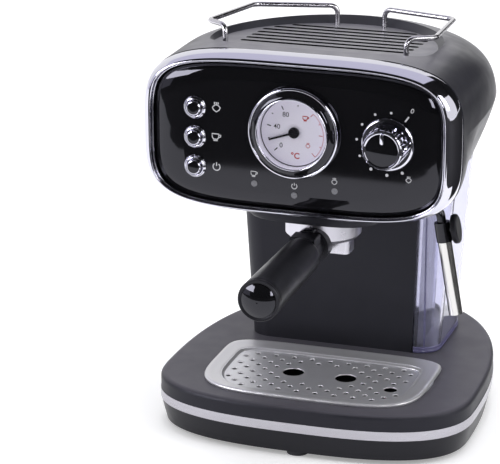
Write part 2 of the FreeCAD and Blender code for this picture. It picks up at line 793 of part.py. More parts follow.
# Head shells
def seam_half(z):
    share = min(abs(z - seam_middle) / SEAM_HALF_HEIGHT, 1)
    return SEAM_HALF_WIDTH * (1 - share ** SEAM_POWER) ** (1 / SEAM_POWER)


def head_wire(front_half, side_half, back, power, inset, z):
    front = seam_y - inset
    points = []
    for step in range(HEAD_STEPS + 1):
        y = front + (back - inset - front) * math.sin(math.pi / 2 * step / HEAD_STEPS)
        share = min((y - front) / HEAD_BLEND, 1)
        blend = share * share * (3 - 2 * share)
        half = front_half + (side_half - front_half) * blend - inset
        round_back = min(max((y - base_widest) / (back - inset - base_widest), 0), 1)
        points.append(V(half * (1 - round_back ** power) ** (1 / power), y, z))
    mirrored = [V(-spot.x, spot.y, z) for spot in reversed(points[:-1])]
    curve = Part.BSplineCurve()
    curve.interpolate(Points=points + mirrored)
    return Part.Wire([curve.toShape(), Part.LineSegment(mirrored[-1], points[0]).toShape()])


def lower_wire(inset, level, z):
    share = level / HEAD_LOWER_HEIGHT
    side = HEAD_BOTTOM_HALF_WIDTH + (SEAM_HALF_WIDTH - HEAD_BOTTOM_HALF_WIDTH) * share
    back = seam_y + HEAD_BOTTOM_DEPTH + (HEAD_DEPTH - HEAD_BOTTOM_DEPTH) * share
    power = HEAD_BOTTOM_POWER + (HEAD_PLAN_POWER - HEAD_BOTTOM_POWER) * share
    return head_wire(seam_half(head_bottom + level), side, back, power, inset, z)


def head_lower_shell():
    shell = loft([lower_wire(0, level, head_bottom + level) for level in LOWER_LEVELS])
    inside = [lower_wire(WALL, level, head_floor + level) for level in LOWER_LEVELS]
    shell = shell.cut(loft(inside))
    shell = shell.cut(post(BOILER_NECK_RADIUS + FACE_GAP, 0, group_y, head_bottom, head_floor))
    shell = shell.cut(post(HOSE_HOLE_RADIUS, HOSE_RISE_X, pump_y, head_bottom, head_floor))
    return shell.cut(post(WAND_STUB_RADIUS + FACE_GAP, WAND_X, wand_y, head_bottom, head_floor))


def cover_wire(inset, level, z):
    share = level / DOME_HEIGHT
    reach = head_back - dome_crown
    power = HEAD_PLAN_POWER + (HEAD_RIM_POWER - HEAD_PLAN_POWER) * share
    back = dome_crown + reach * math.sqrt(1 - share * share)
    half = seam_half(parting + level)
    return head_wire(half, half, back, power, inset, z)


def dish_floor_z(y):
    return seam_top - DISH_FLOOR_DROP - DISH_SLOPE * (y - seam_y)


def dish_spots(inset):
    return egg_points(DISH_HALF_WIDTH - inset, dish_front + inset, dish_widest, dish_back - inset,
                      DISH_FRONT_POWER, DISH_BACK_POWER)


def dish(outset, sunk):
    low = dish_spots(DISH_DRAFT - outset)
    high = dish_spots(-DISH_DRAFT - outset)
    floor = closed_spline([V(x, y, dish_floor_z(y) - sunk) for x, y in low])
    mouth = closed_spline([V(x, y, dish_floor_z(y) + 2 * DISH_DRAFT) for x, y in high])
    return loft([floor, mouth], True)


def slot_spots():
    first = base_front + SLOT_FIRST_SETBACK
    reach = dish_back - DISH_DRAFT - dish_widest
    spots = []
    for step in range(SLOT_COUNT):
        y = first + step * SLOT_PITCH
        share = max(y - dish_widest, 0) / reach
        room = (DISH_HALF_WIDTH - DISH_DRAFT) * math.sqrt(1 - share * share) - SLOT_MARGIN
        spots.append((y, min(SLOT_HALF_LENGTH, room)))
    return spots


def vent_slot(y, half_length):
    low, high = dish_floor_z(y) - 2 * WALL, dish_floor_z(y) + WALL
    straight = half_length - SLOT_WIDTH / 2
    ends = [post(SLOT_WIDTH / 2, x, y, low, high) for x in (-straight, straight)]
    return joined([box(-straight, straight, y - SLOT_WIDTH / 2, y + SLOT_WIDTH / 2, low, high)] + ends)


def rail_feet():
    front = base_front + RAIL_FRONT_SETBACK
    rear = base_front + RAIL_BACK_SETBACK
    return [(RAIL_FRONT_X, front), (-RAIL_FRONT_X, front), (RAIL_BACK_X, rear), (-RAIL_BACK_X, rear)]


def head_top_cover():
    shell = loft([cover_wire(0, level, parting + level) for level in COVER_LEVELS])
    inside = loft([cover_wire(WALL, level, parting + level - WALL) for level in COVER_LEVELS])
    shell = shell.cut(inside.cut(dish(WALL, WALL)))
    shell = shell.cut(dish(0, 0))
    for y, half_length in slot_spots():
        shell = shell.cut(vent_slot(y, half_length))
    for x, y in rail_feet():
        floor = dish_floor_z(y)
        shell = shell.cut(post(RAIL_RADIUS + SCREW_GAP, x, y, floor - 2 * WALL, floor + WALL))
    return shell


def cup_rail(side):
    front = base_front + RAIL_FRONT_SETBACK
    corner = base_front + RAIL_CORNER_SETBACK
    middle = base_front + RAIL_SIDE_SETBACK
    rear = base_front + RAIL_BACK_SETBACK
    foot = WALL + RAIL_TAIL
    corners = [V(side * RAIL_FRONT_X, front, dish_floor_z(front) - foot),
               V(side * RAIL_FRONT_X, front, dish_floor_z(front) + RAIL_HEIGHT),
               V(side * RAIL_CORNER_X, corner, dish_floor_z(corner) + RAIL_HEIGHT),
               V(side * RAIL_SIDE_X, middle, dish_floor_z(middle) + RAIL_HEIGHT),
               V(side * RAIL_BACK_X, rear, dish_floor_z(rear) + RAIL_HEIGHT),
               V(side * RAIL_BACK_X, rear, dish_floor_z(rear) - foot)]
    return pipe(corners, [RAIL_BEND, RAIL_CORNER_BEND, RAIL_CORNER_BEND, RAIL_BEND], RAIL_RADIUS)


def cup_rail_left():
    return cup_rail(-1)


def cup_rail_right():
    return cup_rail(1)


def rail_nuts():
    nuts = []
    for x, y in rail_feet():
        top = dish_floor_z(y + NUT_RADIUS) - WALL
        nut = post(NUT_RADIUS, x, y, top - NUT_HEIGHT, top)
        nuts.append(nut.cut(post(RAIL_RADIUS, x, y, top - NUT_HEIGHT, top)))
    return Part.makeCompound(nuts)


# Front
def front_wire(half_width, half_height, power, y):
    points = []
    for step in range(OUTLINE_STEPS):
        angle = 2 * math.pi * step / OUTLINE_STEPS
        points.append(V(half_width * signed_power(math.cos(angle), 2 / power), y,
                        seam_middle + half_height * signed_power(math.sin(angle), 2 / power)))
    return closed_spline(points)


def front_bezel():
    # Each step of the round section is (share of the way in, share of the depth, outline power).
    steps = ((0.0, 0.0, SEAM_POWER), (0.06, 0.45, SEAM_POWER), (0.3, 0.82, SEAM_POWER),
             (0.68, 1.0, BEZEL_INNER_POWER))
    wide = SEAM_HALF_WIDTH - BEZEL_INNER_HALF_WIDTH
    tall = SEAM_HALF_HEIGHT - BEZEL_INNER_HALF_HEIGHT
    ring = loft([front_wire(SEAM_HALF_WIDTH - wide * inward, SEAM_HALF_HEIGHT - tall * inward, power,
                            seam_y - BEZEL_DEPTH * forward) for inward, forward, power in steps])
    ring = ring.cut(loft([front_wire(BEZEL_INNER_HALF_WIDTH, BEZEL_INNER_HALF_HEIGHT, BEZEL_INNER_POWER, y)
                          for y in (ledge_front, bezel_front - SPILL)], True))
    ledge = [front_wire(BEZEL_INNER_HALF_WIDTH - BEZEL_LEDGE, BEZEL_INNER_HALF_HEIGHT - BEZEL_LEDGE,
                        BEZEL_INNER_POWER, y) for y in (seam_y + SPILL, bezel_front)]
    return ring.cut(loft(ledge, True))


def panel_block(inset, back):
    half_width = BEZEL_INNER_HALF_WIDTH - PANEL_GAP - inset
    half_height = BEZEL_INNER_HALF_HEIGHT - PANEL_GAP - inset
    rim = [front_wire(half_width, half_height, BEZEL_INNER_POWER, y) for y in (back, panel_edge + inset)]
    # The edge rolls back from the flat: (share of the half sizes, share of the roll).
    roll = ((1.0, 1.0), (0.955, 0.5), (0.88, 0.14), (PANEL_FLAT, 0.0))
    crown = [front_wire(half_width * size, half_height * size, BEZEL_INNER_POWER,
                        panel_front + inset + PANEL_ROLL * depth) for size, depth in roll]
    return joined([loft(rim, True), loft(crown)])


def front_panel():
    panel = panel_block(0, ledge_front).cut(panel_block(PANEL_SKIN, ledge_front + SPILL))
    posts = [bar(POST_RADIUS, x, z, panel_inside - SPILL, board_front)
             for x in (BOARD_INNER_X - POST_INSET,)
             for z in (button_z - BOARD_HALF_HEIGHT + POST_INSET, button_z + BOARD_HALF_HEIGHT - POST_INSET)]
    panel = joined([panel] + posts)
    low, high = panel_front - SPILL, panel_inside + SPILL
    panel = panel.cut(bar(GAUGE_HOLE_RADIUS, 0, gauge_z, low, high))
    for z in button_levels:
        panel = panel.cut(bar(BUTTON_BARREL_RADIUS, BUTTON_X, z, low, high))
    for x, z in light_spots():
        panel = panel.cut(bar(LIGHT_RADIUS, x, z, low, high))
    return panel.cut(bar(STEM_RADIUS + SLIDE_GAP, KNOB_X, knob_z, low, high))


# Gauge
def gauge_ring():
    edge = panel_front - GAUGE_EDGE
    crest = panel_front - GAUGE_HEIGHT
    profile = [(GAUGE_BORE, panel_front), (GAUGE_RADIUS, panel_front), (GAUGE_RADIUS, edge),
               (GAUGE_RADIUS - GAUGE_STEP, edge - GAUGE_STEP_HEIGHT), (GAUGE_BORE + GAUGE_LIP, crest),
               (GAUGE_BORE, crest)]
    return turned(profile, 0, 0, gauge_z, Y_AXIS)


def gauge_can():
    back = panel_front + CAN_DEPTH
    flange = panel_inside + CAN_FLANGE
    wide = CAN_RADIUS + CAN_FLANGE
    profile = [(0, panel_front), (CAN_RADIUS, panel_front), (CAN_RADIUS, panel_inside), (wide, panel_inside),
               (wide, flange), (CAN_RADIUS, flange), (CAN_RADIUS, back), (0, back)]
    can = turned(profile, 0, 0, gauge_z, Y_AXIS)
    shaft_end = panel_front + NEEDLE_SHAFT + SPILL
    return can.cut(bar(NEEDLE_SHAFT_RADIUS + RUNNING_GAP, 0, gauge_z, dial_front, shaft_end))


def gauge_dial():
    disc = bar(GAUGE_BORE, 0, gauge_z, dial_front, panel_front)
    return disc.cut(bar(NEEDLE_SHAFT_RADIUS + RUNNING_GAP, 0, gauge_z, dial_front - SPILL, panel_front + SPILL))


def gauge_lens():
    front = panel_front - LENS_RISE
    return bar(GAUGE_BORE, 0, gauge_z, front, front + LENS_THICKNESS)


def gauge_needle():
    hub_back = dial_front - FACE_GAP
    hub = bar(HUB_RADIUS, 0, gauge_z, hub_back - HUB_HEIGHT, hub_back)
    shaft = bar(NEEDLE_SHAFT_RADIUS, 0, gauge_z, hub_back, panel_front + NEEDLE_SHAFT)
    blade_back = dial_front - NEEDLE_LIFT
    corners = [(0, -NEEDLE_WIDTH), (NEEDLE_LENGTH, -NEEDLE_TIP_WIDTH),
               (NEEDLE_LENGTH, NEEDLE_TIP_WIDTH), (0, NEEDLE_WIDTH)]
    blade = polygon([V(x, blade_back, gauge_z + width / 2) for x, width in corners])
    blade = Part.Face(blade).extrude(V(0, -NEEDLE_THICKNESS, 0))
    needle = joined([hub, shaft, blade])
    needle.rotate(V(0, 0, gauge_z), Y_AXIS, -NEEDLE_REST)
    return needle


# Buttons, lights and board
def button(level):
    front = panel_front - BUTTON_PROUD
    cap = bar(BUTTON_RADIUS, BUTTON_X, level, front, front + BUTTON_LENGTH)
    cap = rounded(cap, BUTTON_RADIUS * 0.55, lambda edge: edge.YMax < front + FACE_GAP)
    back = front + BUTTON_LENGTH
    stem = bar(BUTTON_STEM_RADIUS, BUTTON_X, level, back, back + BUTTON_STEM)
    return joined([cap, stem])


def button_upper():
    return button(button_levels[0])


def button_middle():
    return button(button_levels[1])


def button_lower():
    return button(button_levels[2])


def button_rings():
    rings = []
    bore = BUTTON_RADIUS + FACE_GAP
    front = panel_front - BUTTON_RING_PROUD
    back = panel_front + BUTTON_BARREL
    for z in button_levels:
        head = bar(BUTTON_RING_RADIUS, BUTTON_X, z, front, panel_front)
        head = rounded(head, BUTTON_RING_PROUD * 0.6, lambda edge: edge.YMax < front + FACE_GAP)
        ring = joined([head, bar(BUTTON_BARREL_RADIUS, BUTTON_X, z, panel_front, back)])
        rings.append(ring.cut(bar(bore, BUTTON_X, z, front - SPILL, back + SPILL)))
    return Part.makeCompound(rings)


def button_switches():
    half = SWITCH_SIZE / 2
    left, right = BUTTON_X - half, BUTTON_X + half
    return Part.makeCompound([box(left, right, switch_front, board_front, z - half, z + half)
                              for z in button_levels])


def control_board():
    return box(BOARD_OUTER_X, BOARD_INNER_X, board_front, board_front + BOARD_THICKNESS,
               button_z - BOARD_HALF_HEIGHT, button_z + BOARD_HALF_HEIGHT)


def light_spots():
    return [(-LIGHT_X, seam_middle - LIGHT_DROP), (0, seam_middle - LIGHT_MIDDLE_DROP),
            (LIGHT_X, seam_middle - LIGHT_DROP)]


def indicator_lenses():
    lenses = []
    for x, z in light_spots():
        flange = bar(LIGHT_FLANGE, x, z, panel_inside, panel_inside + LIGHT_FLANGE_DEPTH)
        lenses.append(joined([flange, bar(LIGHT_RADIUS, x, z, panel_front - LIGHT_PROUD, panel_inside)]))
    return Part.makeCompound(lenses)


# Steam knob and valve
def knob_flange():
    ring = bar(FLANGE_RADIUS, KNOB_X, knob_z, panel_front - FLANGE_DEPTH, panel_front)
    ring = rounded(ring, FLANGE_DEPTH * 0.6, lambda edge: edge.YMax < panel_front - FACE_GAP)
    return ring.cut(bar(STEM_RADIUS + SLIDE_GAP, KNOB_X, knob_z, panel_front - 2 * FLANGE_DEPTH, panel_front))


def steam_knob():
    knob = bar(KNOB_RADIUS, KNOB_X, knob_z, knob_front, knob_back)
    knob = rounded(knob, KNOB_EDGE, lambda edge: edge.YMax < knob_front + FACE_GAP)
    reach = KNOB_RADIUS + KNOB_SCALLOP_RADIUS / 2
    for step in range(KNOB_SCALLOPS):
        angle = 2 * math.pi * step / KNOB_SCALLOPS
        x = KNOB_X + reach * math.cos(angle)
        z = knob_z + reach * math.sin(angle)
        knob = knob.cut(bar(KNOB_SCALLOP_RADIUS, x, z, knob_front + KNOB_EDGE, knob_back + SPILL))
    return knob.cut(bar(STEM_RADIUS, KNOB_X, knob_z, knob_back - STEM_SUNK, knob_back))


def valve_stem():
    front = knob_back - STEM_SUNK
    return bar(STEM_RADIUS, KNOB_X, knob_z, front, front + STEM_LENGTH)


def steam_valve():
    neck_back = panel_inside + VALVE_NECK
    body = joined([bar(VALVE_NECK_RADIUS, KNOB_X, knob_z, panel_inside, neck_back),
                   bar(VALVE_RADIUS, KNOB_X, knob_z, neck_back, neck_back + VALVE_LENGTH)])
    stem_end = knob_back - STEM_SUNK + STEM_LENGTH
    return body.cut(bar(STEM_RADIUS + RUNNING_GAP, KNOB_X, knob_z, panel_inside, stem_end + SPILL))


# Boiler and group
def boiler_base():
    body = joined([post(BOILER_NECK_RADIUS, 0, group_y, head_bottom, head_floor),
                   post(BOILER_RADIUS, 0, group_y, head_floor, boiler_split)])
    bore = BOILER_TOP_RADIUS - BOILER_WALL
    body = body.cut(post(bore, 0, group_y, boiler_split - BOILER_WALL, boiler_split))
    screw_top = head_bottom + SHOWER_SCREW_LENGTH
    return body.cut(post(SHOWER_SCREW_RADIUS, 0, group_y, head_bottom, screw_top))


def boiler_top():
    top = boiler_split + BOILER_TOP_HEIGHT
    body = post(BOILER_TOP_RADIUS, 0, group_y, boiler_split, top)
    body = rounded(body, BOILER_EDGE, lambda edge: edge.ZMin > top - FACE_GAP)
    return body.cut(post(BOILER_TOP_RADIUS - BOILER_WALL, 0, group_y, boiler_split, top - BOILER_WALL))


def thermostat():
    top = boiler_split + BOILER_TOP_HEIGHT
    return post(THERMOSTAT_RADIUS, 0, group_y, top, top + THERMOSTAT_HEIGHT)


def sector(radius, angle, heading, z_low, z_high):
    wedge = Part.makeCylinder(radius, z_high - z_low, V(0, group_y, z_low), Z_AXIS, angle)
    wedge.rotate(V(0, group_y, 0), Z_AXIS, heading - angle / 2)
    return wedge


def group_collar():
    bore = COLLAR_RADIUS - COLLAR_WALL
    ring = post(COLLAR_RADIUS, 0, group_y, collar_bottom, head_bottom)
    ring = ring.cut(post(bore, 0, group_y, collar_bottom + LEDGE_HEIGHT, head_bottom))
    ring = ring.cut(post(RIM_RADIUS + SLIDE_GAP, 0, group_y, collar_bottom, head_bottom))
    for heading in (180 - LOCK_TURN, 360 - LOCK_TURN):
        ring = ring.cut(sector(bore, LEDGE_GAP_ANGLE, heading, collar_bottom, head_bottom))
    return ring


def group_gasket():
    return post(GASKET_RADIUS, 0, group_y, head_bottom - GASKET_HEIGHT, head_bottom).cut(
        post(GASKET_BORE, 0, group_y, head_bottom - GASKET_HEIGHT, head_bottom))


def shower_screen():
    return post(SCREEN_RADIUS, 0, group_y, head_bottom - SCREEN_DROP, head_bottom).cut(
        post(SHOWER_SCREW_RADIUS, 0, group_y, head_bottom - SCREEN_DROP, head_bottom))


def shower_screw():
    head_top = head_bottom - SCREEN_DROP
    return joined([post(SHOWER_HEAD_RADIUS, 0, group_y, head_top - SHOWER_HEAD, head_top),
                   post(SHOWER_SCREW_RADIUS, 0, group_y, head_top, head_bottom + SHOWER_SCREW_LENGTH)])


# Portafilter
def handle_bar(radius, y_low, y_high):
    return bar(radius, 0, handle_z, y_low, y_high)


neck_back = group_y - CUP_RADIUS
neck_flange_front = neck_back - NECK_FLANGE
neck_front = neck_flange_front - NECK_LENGTH
grip_front = neck_front - GRIP_LENGTH


def portafilter_cup():
    rim_bottom = cup_top - RIM_HEIGHT
    outer = [(0, cup_bottom), (CUP_RADIUS - CUP_CHAMFER, cup_bottom), (CUP_RADIUS, cup_bottom + CUP_CHAMFER),
             (CUP_RADIUS, rim_bottom - RIM_SLOPE), (RIM_RADIUS, rim_bottom), (RIM_RADIUS, cup_top),
             (0, cup_top)]
    body = turned(outer, 0, group_y, 0, Z_AXIS)
    lug_radius = COLLAR_RADIUS - COLLAR_WALL - FACE_GAP
    lug_top = lug_bottom + LUG_HEIGHT
    lugs = [sector(lug_radius, LUG_ANGLE, heading, lug_bottom, lug_top) for heading in (0, 180)]
    stub = handle_bar(STUB_RADIUS, neck_back - STUB_LENGTH, group_y - CUP_RADIUS / 2)
    body = joined([body, stub] + lugs)
    body = body.cut(post(CUP_RADIUS - CUP_WALL, 0, group_y, cup_bottom + CUP_FLOOR, cup_top))
    body = body.cut(post(DRAIN_RADIUS, 0, group_y, cup_bottom, cup_bottom + CUP_FLOOR))
    return body.cut(handle_bar(HANDLE_BOLT_RADIUS, neck_back - 2 * STUB_LENGTH, neck_back + STUB_LENGTH))


def basket_hole_spots():
    spots = [(0, 0)]
    for ring in range(1, BASKET_HOLE_RINGS + 1):
        reach = ring * BASKET_HOLE_PITCH
        for step in range(6 * ring):
            angle = 2 * math.pi * step / (6 * ring)
            spots.append((reach * math.cos(angle), reach * math.sin(angle)))
    return spots


def filter_basket():
    radius = CUP_RADIUS - CUP_WALL - BASKET_GAP
    low = cup_top - BASKET_DEPTH
    body = joined([post(radius, 0, group_y, low, cup_top),
                   post(BASKET_RIM_RADIUS, 0, group_y, cup_top, cup_top + SHEET)])
    body = body.cut(post(radius - BASKET_WALL, 0, group_y, low + BASKET_WALL, cup_top + 2 * SHEET))
    holes = [post(BASKET_HOLE_RADIUS, x, group_y + y, low - SPILL, low + 2 * BASKET_WALL)
             for x, y in basket_hole_spots()]
    return body.cut(Part.makeCompound(holes))


def twin_spout():
    low = cup_bottom - SPOUT_HEIGHT
    front, back = group_y - SPOUT_HALF_DEPTH, group_y + SPOUT_HALF_DEPTH
    half_notch = SPOUT_NOTCH / 2
    block = box(-SPOUT_HALF_WIDTH, SPOUT_HALF_WIDTH, front, back, low, cup_bottom)
    block = rounded(block, SPOUT_CORNER, lambda edge: edge.ZLength > SPOUT_HEIGHT / 2)
    block = block.cut(box(-half_notch, half_notch, front, back, low, low + SPOUT_NOTCH_HEIGHT))
    block = block.cut(box(-SPOUT_OUTLET_X, SPOUT_OUTLET_X, group_y - SPOUT_BORE, group_y + SPOUT_BORE,
                          low + SPOUT_CHANNEL, cup_bottom - SPOUT_CHANNEL / 3))
    block = block.cut(post(DRAIN_RADIUS, 0, group_y, low + SPOUT_CHANNEL, cup_bottom))
    for x in (-SPOUT_OUTLET_X, SPOUT_OUTLET_X):
        block = block.cut(post(SPOUT_BORE, x, group_y, low, low + SPOUT_CHANNEL))
    return block


def handle_neck():
    flange = handle_bar(NECK_RADIUS, neck_flange_front, neck_back + NECK_TUCK)
    waist = turned([(0, neck_front), (GRIP_STEP_RADIUS, neck_front), (NECK_WAIST_RADIUS, neck_flange_front),
                    (0, neck_flange_front)], 0, 0, handle_z, Y_AXIS)
    neck = joined([flange, waist])
    neck = neck.cut(post(CUP_RADIUS, 0, group_y, cup_bottom, cup_top))
    neck = neck.cut(handle_bar(STUB_RADIUS, neck_back - STUB_LENGTH, neck_back + 2 * NECK_TUCK))
    return neck.cut(handle_bar(HANDLE_BOLT_RADIUS, neck_front - SPILL, neck_back))


def handle_grip():
    recess = grip_front + CAP_DEPTH + HANDLE_BOLT_HEAD_DEPTH
    profile = [(HANDLE_BOLT_RADIUS, neck_front), (GRIP_STEP_RADIUS, neck_front),
               (GRIP_BACK_RADIUS, neck_front - GRIP_STEP), (GRIP_FRONT_RADIUS, grip_front),
               (CAP_RADIUS, grip_front), (CAP_RADIUS, grip_front + CAP_DEPTH),
               (HANDLE_BOLT_HEAD, grip_front + CAP_DEPTH), (HANDLE_BOLT_HEAD, recess),
               (HANDLE_BOLT_RADIUS, recess)]
    grip = turned(profile, 0, 0, handle_z, Y_AXIS)
    outside = CAP_RADIUS + FACE_GAP
    return rounded(grip, GRIP_EDGE, lambda edge: edge.YMax < grip_front + FACE_GAP and edge.XMax > outside)


def handle_end_cap():
    tip, back = grip_front - CAP_DOME, grip_front + CAP_DEPTH
    ball_radius = (CAP_RADIUS ** 2 + CAP_DOME ** 2) / (2 * CAP_DOME)
    halfway = CAP_RADIUS / 2
    bulge = tip + ball_radius - math.sqrt(ball_radius ** 2 - halfway ** 2)
    dome = Part.Arc(V(0, tip, handle_z), V(halfway, bulge, handle_z), V(CAP_RADIUS, grip_front, handle_z))
    sides = Part.makePolygon([V(CAP_RADIUS, grip_front, handle_z), V(CAP_RADIUS, back, handle_z),
                              V(0, back, handle_z), V(0, tip, handle_z)])
    outline = Part.Wire([dome.toShape()] + sides.Edges)
    return Part.Face(outline).revolve(V(0, 0, handle_z), Y_AXIS, 360)


def handle_bolt():
    head_front = grip_front + CAP_DEPTH
    head_back = head_front + HANDLE_BOLT_HEAD_DEPTH
    return joined([handle_bar(HANDLE_BOLT_HEAD, head_front, head_back),
                   handle_bar(HANDLE_BOLT_RADIUS, head_back, neck_back)])


# Steam wand
def wand_bushing():
    low = head_bottom - BUSH_HEIGHT
    return post(BUSH_RADIUS, WAND_X, wand_y, low, head_bottom).cut(
        post(WAND_STUB_RADIUS + RUNNING_GAP, WAND_X, wand_y, low, head_bottom))


wand_heading = V(math.sin(math.radians(WAND_LEAN)), 0, -math.cos(math.radians(WAND_LEAN)))
sleeve_top = V(SLEEVE_X, wand_y, head_bottom - SLEEVE_DROP)
sleeve_end = sleeve_top + wand_heading * SLEEVE_LENGTH
paddle_middle = sleeve_top + wand_heading * PADDLE_DROP


def wand_elbow():
    clip_low = head_floor + FACE_GAP
    low = head_bottom - WAND_DROP
    stub = post(WAND_STUB_RADIUS, WAND_X, wand_y, head_bottom - BUSH_HEIGHT - FACE_GAP, clip_low)
    clip = post(WAND_CLIP_RADIUS, WAND_X, wand_y, clip_low, clip_low + WAND_CLIP_HEIGHT)
    bend = pipe([V(WAND_X, wand_y, head_bottom - BUSH_HEIGHT), V(WAND_X, wand_y, low),
                 sleeve_top - wand_heading * WAND_BEND, sleeve_top + wand_heading * FACE_GAP],
                [WAND_BEND, WAND_BEND], WAND_PIPE_RADIUS)
    sleeve = Part.makeCylinder(SLEEVE_RADIUS, SLEEVE_LENGTH, sleeve_top, wand_heading)
    return joined([stub, clip, bend, sleeve])


def wand_tube():
    tube = Part.makeCylinder(WAND_TUBE_RADIUS, WAND_TUBE_LENGTH, sleeve_end, wand_heading)
    return tube.cut(Part.makeCylinder(WAND_TUBE_BORE, WAND_TUBE_LENGTH, sleeve_end, wand_heading))


def wand_paddle():
    inner = SLEEVE_RADIUS + PADDLE_STEM
    pad = Part.makeCylinder(PADDLE_HALF_HEIGHT, PADDLE_THICKNESS, V(inner, 0, 0), X_AXIS)
    pad = pad.makeFillet(PADDLE_EDGE, [edge for edge in pad.Edges if edge.BoundBox.XLength < FACE_GAP])
    squeeze = FreeCAD.Matrix()
    squeeze.A22 = PADDLE_HALF_WIDTH / PADDLE_HALF_HEIGHT
    pad = pad.transformGeometry(squeeze)
    stem = Part.makeCylinder(PADDLE_STEM_RADIUS, inner, V(0, 0, 0), X_AXIS)
    stem = stem.cut(Part.makeCylinder(SLEEVE_RADIUS, 2 * SLEEVE_LENGTH, V(0, 0, -SLEEVE_LENGTH), Z_AXIS))
    paddle = joined([pad, stem])
    paddle.rotate(V(0, 0, 0), Y_AXIS, -WAND_LEAN)
    paddle.translate(paddle_middle)
    return paddle


PIECES = [base_lower_shell, base_trim_band, base_top_cover, feet, base_screws, cord_gland,
          drip_tray, drip_grid, tray_float, column_housing, tank_socket, water_tank, tank_lid, tank_valve,
          pump, pump_mounts, suction_hose, pressure_hose, head_lower_shell, head_top_cover,
          cup_rail_left, cup_rail_right, rail_nuts, front_bezel, front_panel,
          gauge_ring, gauge_can, gauge_dial, gauge_lens, gauge_needle,
          button_upper, button_middle, button_lower, button_rings, button_switches, control_board,
          indicator_lenses, knob_flange, steam_knob, valve_stem, steam_valve,
          boiler_base, boiler_top, thermostat, group_collar, group_gasket, shower_screen, shower_screw,
          portafilter_cup, filter_basket, twin_spout, handle_neck, handle_grip, handle_end_cap, handle_bolt,
          wand_bushing, wand_elbow, wand_tube, wand_paddle]

os.makedirs("parts", exist_ok=True)
for piece in PIECES:
    piece().exportStep("parts/" + piece.__name__ + ".step")
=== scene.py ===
import math
import bmesh
import bpy
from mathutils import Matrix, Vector


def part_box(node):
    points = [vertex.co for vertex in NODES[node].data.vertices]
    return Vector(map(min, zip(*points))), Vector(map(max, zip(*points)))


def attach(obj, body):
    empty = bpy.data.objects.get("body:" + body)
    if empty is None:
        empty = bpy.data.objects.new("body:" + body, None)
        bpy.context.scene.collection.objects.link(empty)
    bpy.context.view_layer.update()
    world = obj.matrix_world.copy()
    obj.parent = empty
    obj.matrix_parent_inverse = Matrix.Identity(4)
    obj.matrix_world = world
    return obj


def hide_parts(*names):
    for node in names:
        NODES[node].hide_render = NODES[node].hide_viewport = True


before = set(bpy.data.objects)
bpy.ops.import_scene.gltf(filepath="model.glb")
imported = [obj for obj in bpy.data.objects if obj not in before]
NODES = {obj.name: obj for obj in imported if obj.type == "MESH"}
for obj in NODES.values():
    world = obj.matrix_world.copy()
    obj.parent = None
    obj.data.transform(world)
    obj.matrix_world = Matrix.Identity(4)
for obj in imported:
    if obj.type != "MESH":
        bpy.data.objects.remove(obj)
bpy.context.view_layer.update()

MM = 0.001
X, Y, Z = range(3)
FULL_TURN = 2 * math.pi


# Places taken from the solids, in millimetres to a tenth
def low_side(node, axis):
    return round(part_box(node)[0][axis] / MM, 1)


def high_side(node, axis):
    return round(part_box(node)[1][axis] / MM, 1)


def middle(node, axis):
    low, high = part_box(node)
    return round((low[axis] + high[axis]) / 2 / MM, 1)


SEAM_Y = high_side("front_bezel", Y)
SEAM_MIDDLE = middle("front_bezel", Z)
PANEL_FRONT = low_side("front_panel", Y)
DIAL_FRONT = low_side("gauge_dial", Y)
GAUGE_Z = middle("gauge_dial", Z)
BUTTON_X = middle("button_middle", X)
BUTTON_LEVELS = {name: middle("button_" + name, Z) for name in ("upper", "middle", "lower")}
KNOB_X = middle("steam_knob", X)
KNOB_Z = middle("steam_knob", Z)
KNOB_BACK = high_side("steam_knob", Y)
HANDLE_Z = middle("handle_grip", Z)
GRIP_BACK = high_side("handle_grip", Y)
GRIP_FRONT = low_side("handle_grip", Y)
GROUP_Y = middle("group_collar", Y)
HEAD_BOTTOM = low_side("head_lower_shell", Z)
GRID_TOP = high_side("drip_grid", Z)
GRID_FRONT = low_side("drip_grid", Y)
FLOAT_X = middle("tray_float", X)
TANK_BOTTOM = low_side("water_tank", Z)

# Materials
NOISE_LOW = 0.3
NOISE_HIGH = 0.7
LEAST_ROUGHNESS = 0.01
BUMP_DEPTH = 0.0002
BUMP_DETAIL = 2.0
COOL_SHEEN = (0.88, 0.88, 1.0, 1.0)
# Sockets of the mix node that carry colours
COLOR_A, COLOR_B, COLOR_OUT = 6, 7, 2


def node_tree(name):
    made = bpy.data.materials.new(name)
    made.use_nodes = True
    return made, made.node_tree.nodes, made.node_tree.links


def grain(nodes, links, scale, stretch, detail=3.0):
    place = nodes.new("ShaderNodeTexCoord")
    noise = nodes.new("ShaderNodeTexNoise")
    noise.inputs["Scale"].default_value = scale
    noise.inputs["Detail"].default_value = detail
    source = place.outputs["Object"]
    if stretch:
        mapping = nodes.new("ShaderNodeMapping")
        mapping.inputs["Scale"].default_value = stretch
        links.new(source, mapping.inputs["Vector"])
        source = mapping.outputs["Vector"]
    links.new(source, noise.inputs["Vector"])
    return noise.outputs["Fac"]


def map_range(nodes, links, source, from_low, from_high, to_low, to_high):
    step = nodes.new("ShaderNodeMapRange")
    limits = {"From Min": from_low, "From Max": from_high, "To Min": to_low, "To Max": to_high}
    for socket, value in limits.items():
        step.inputs[socket].default_value = value
    links.new(source, step.inputs["Value"])
    return step.outputs["Result"]


def color_mix(nodes, links, factor):
    mix = nodes.new("ShaderNodeMix")
    mix.data_type = "RGBA"
    links.new(factor, mix.inputs[0])
    return mix


def tinted(nodes, links, factor, dark, light):
    mix = color_mix(nodes, links, factor)
    mix.inputs[COLOR_A].default_value = (*dark, 1)
    mix.inputs[COLOR_B].default_value = (*light, 1)
    return mix.outputs[COLOR_OUT]


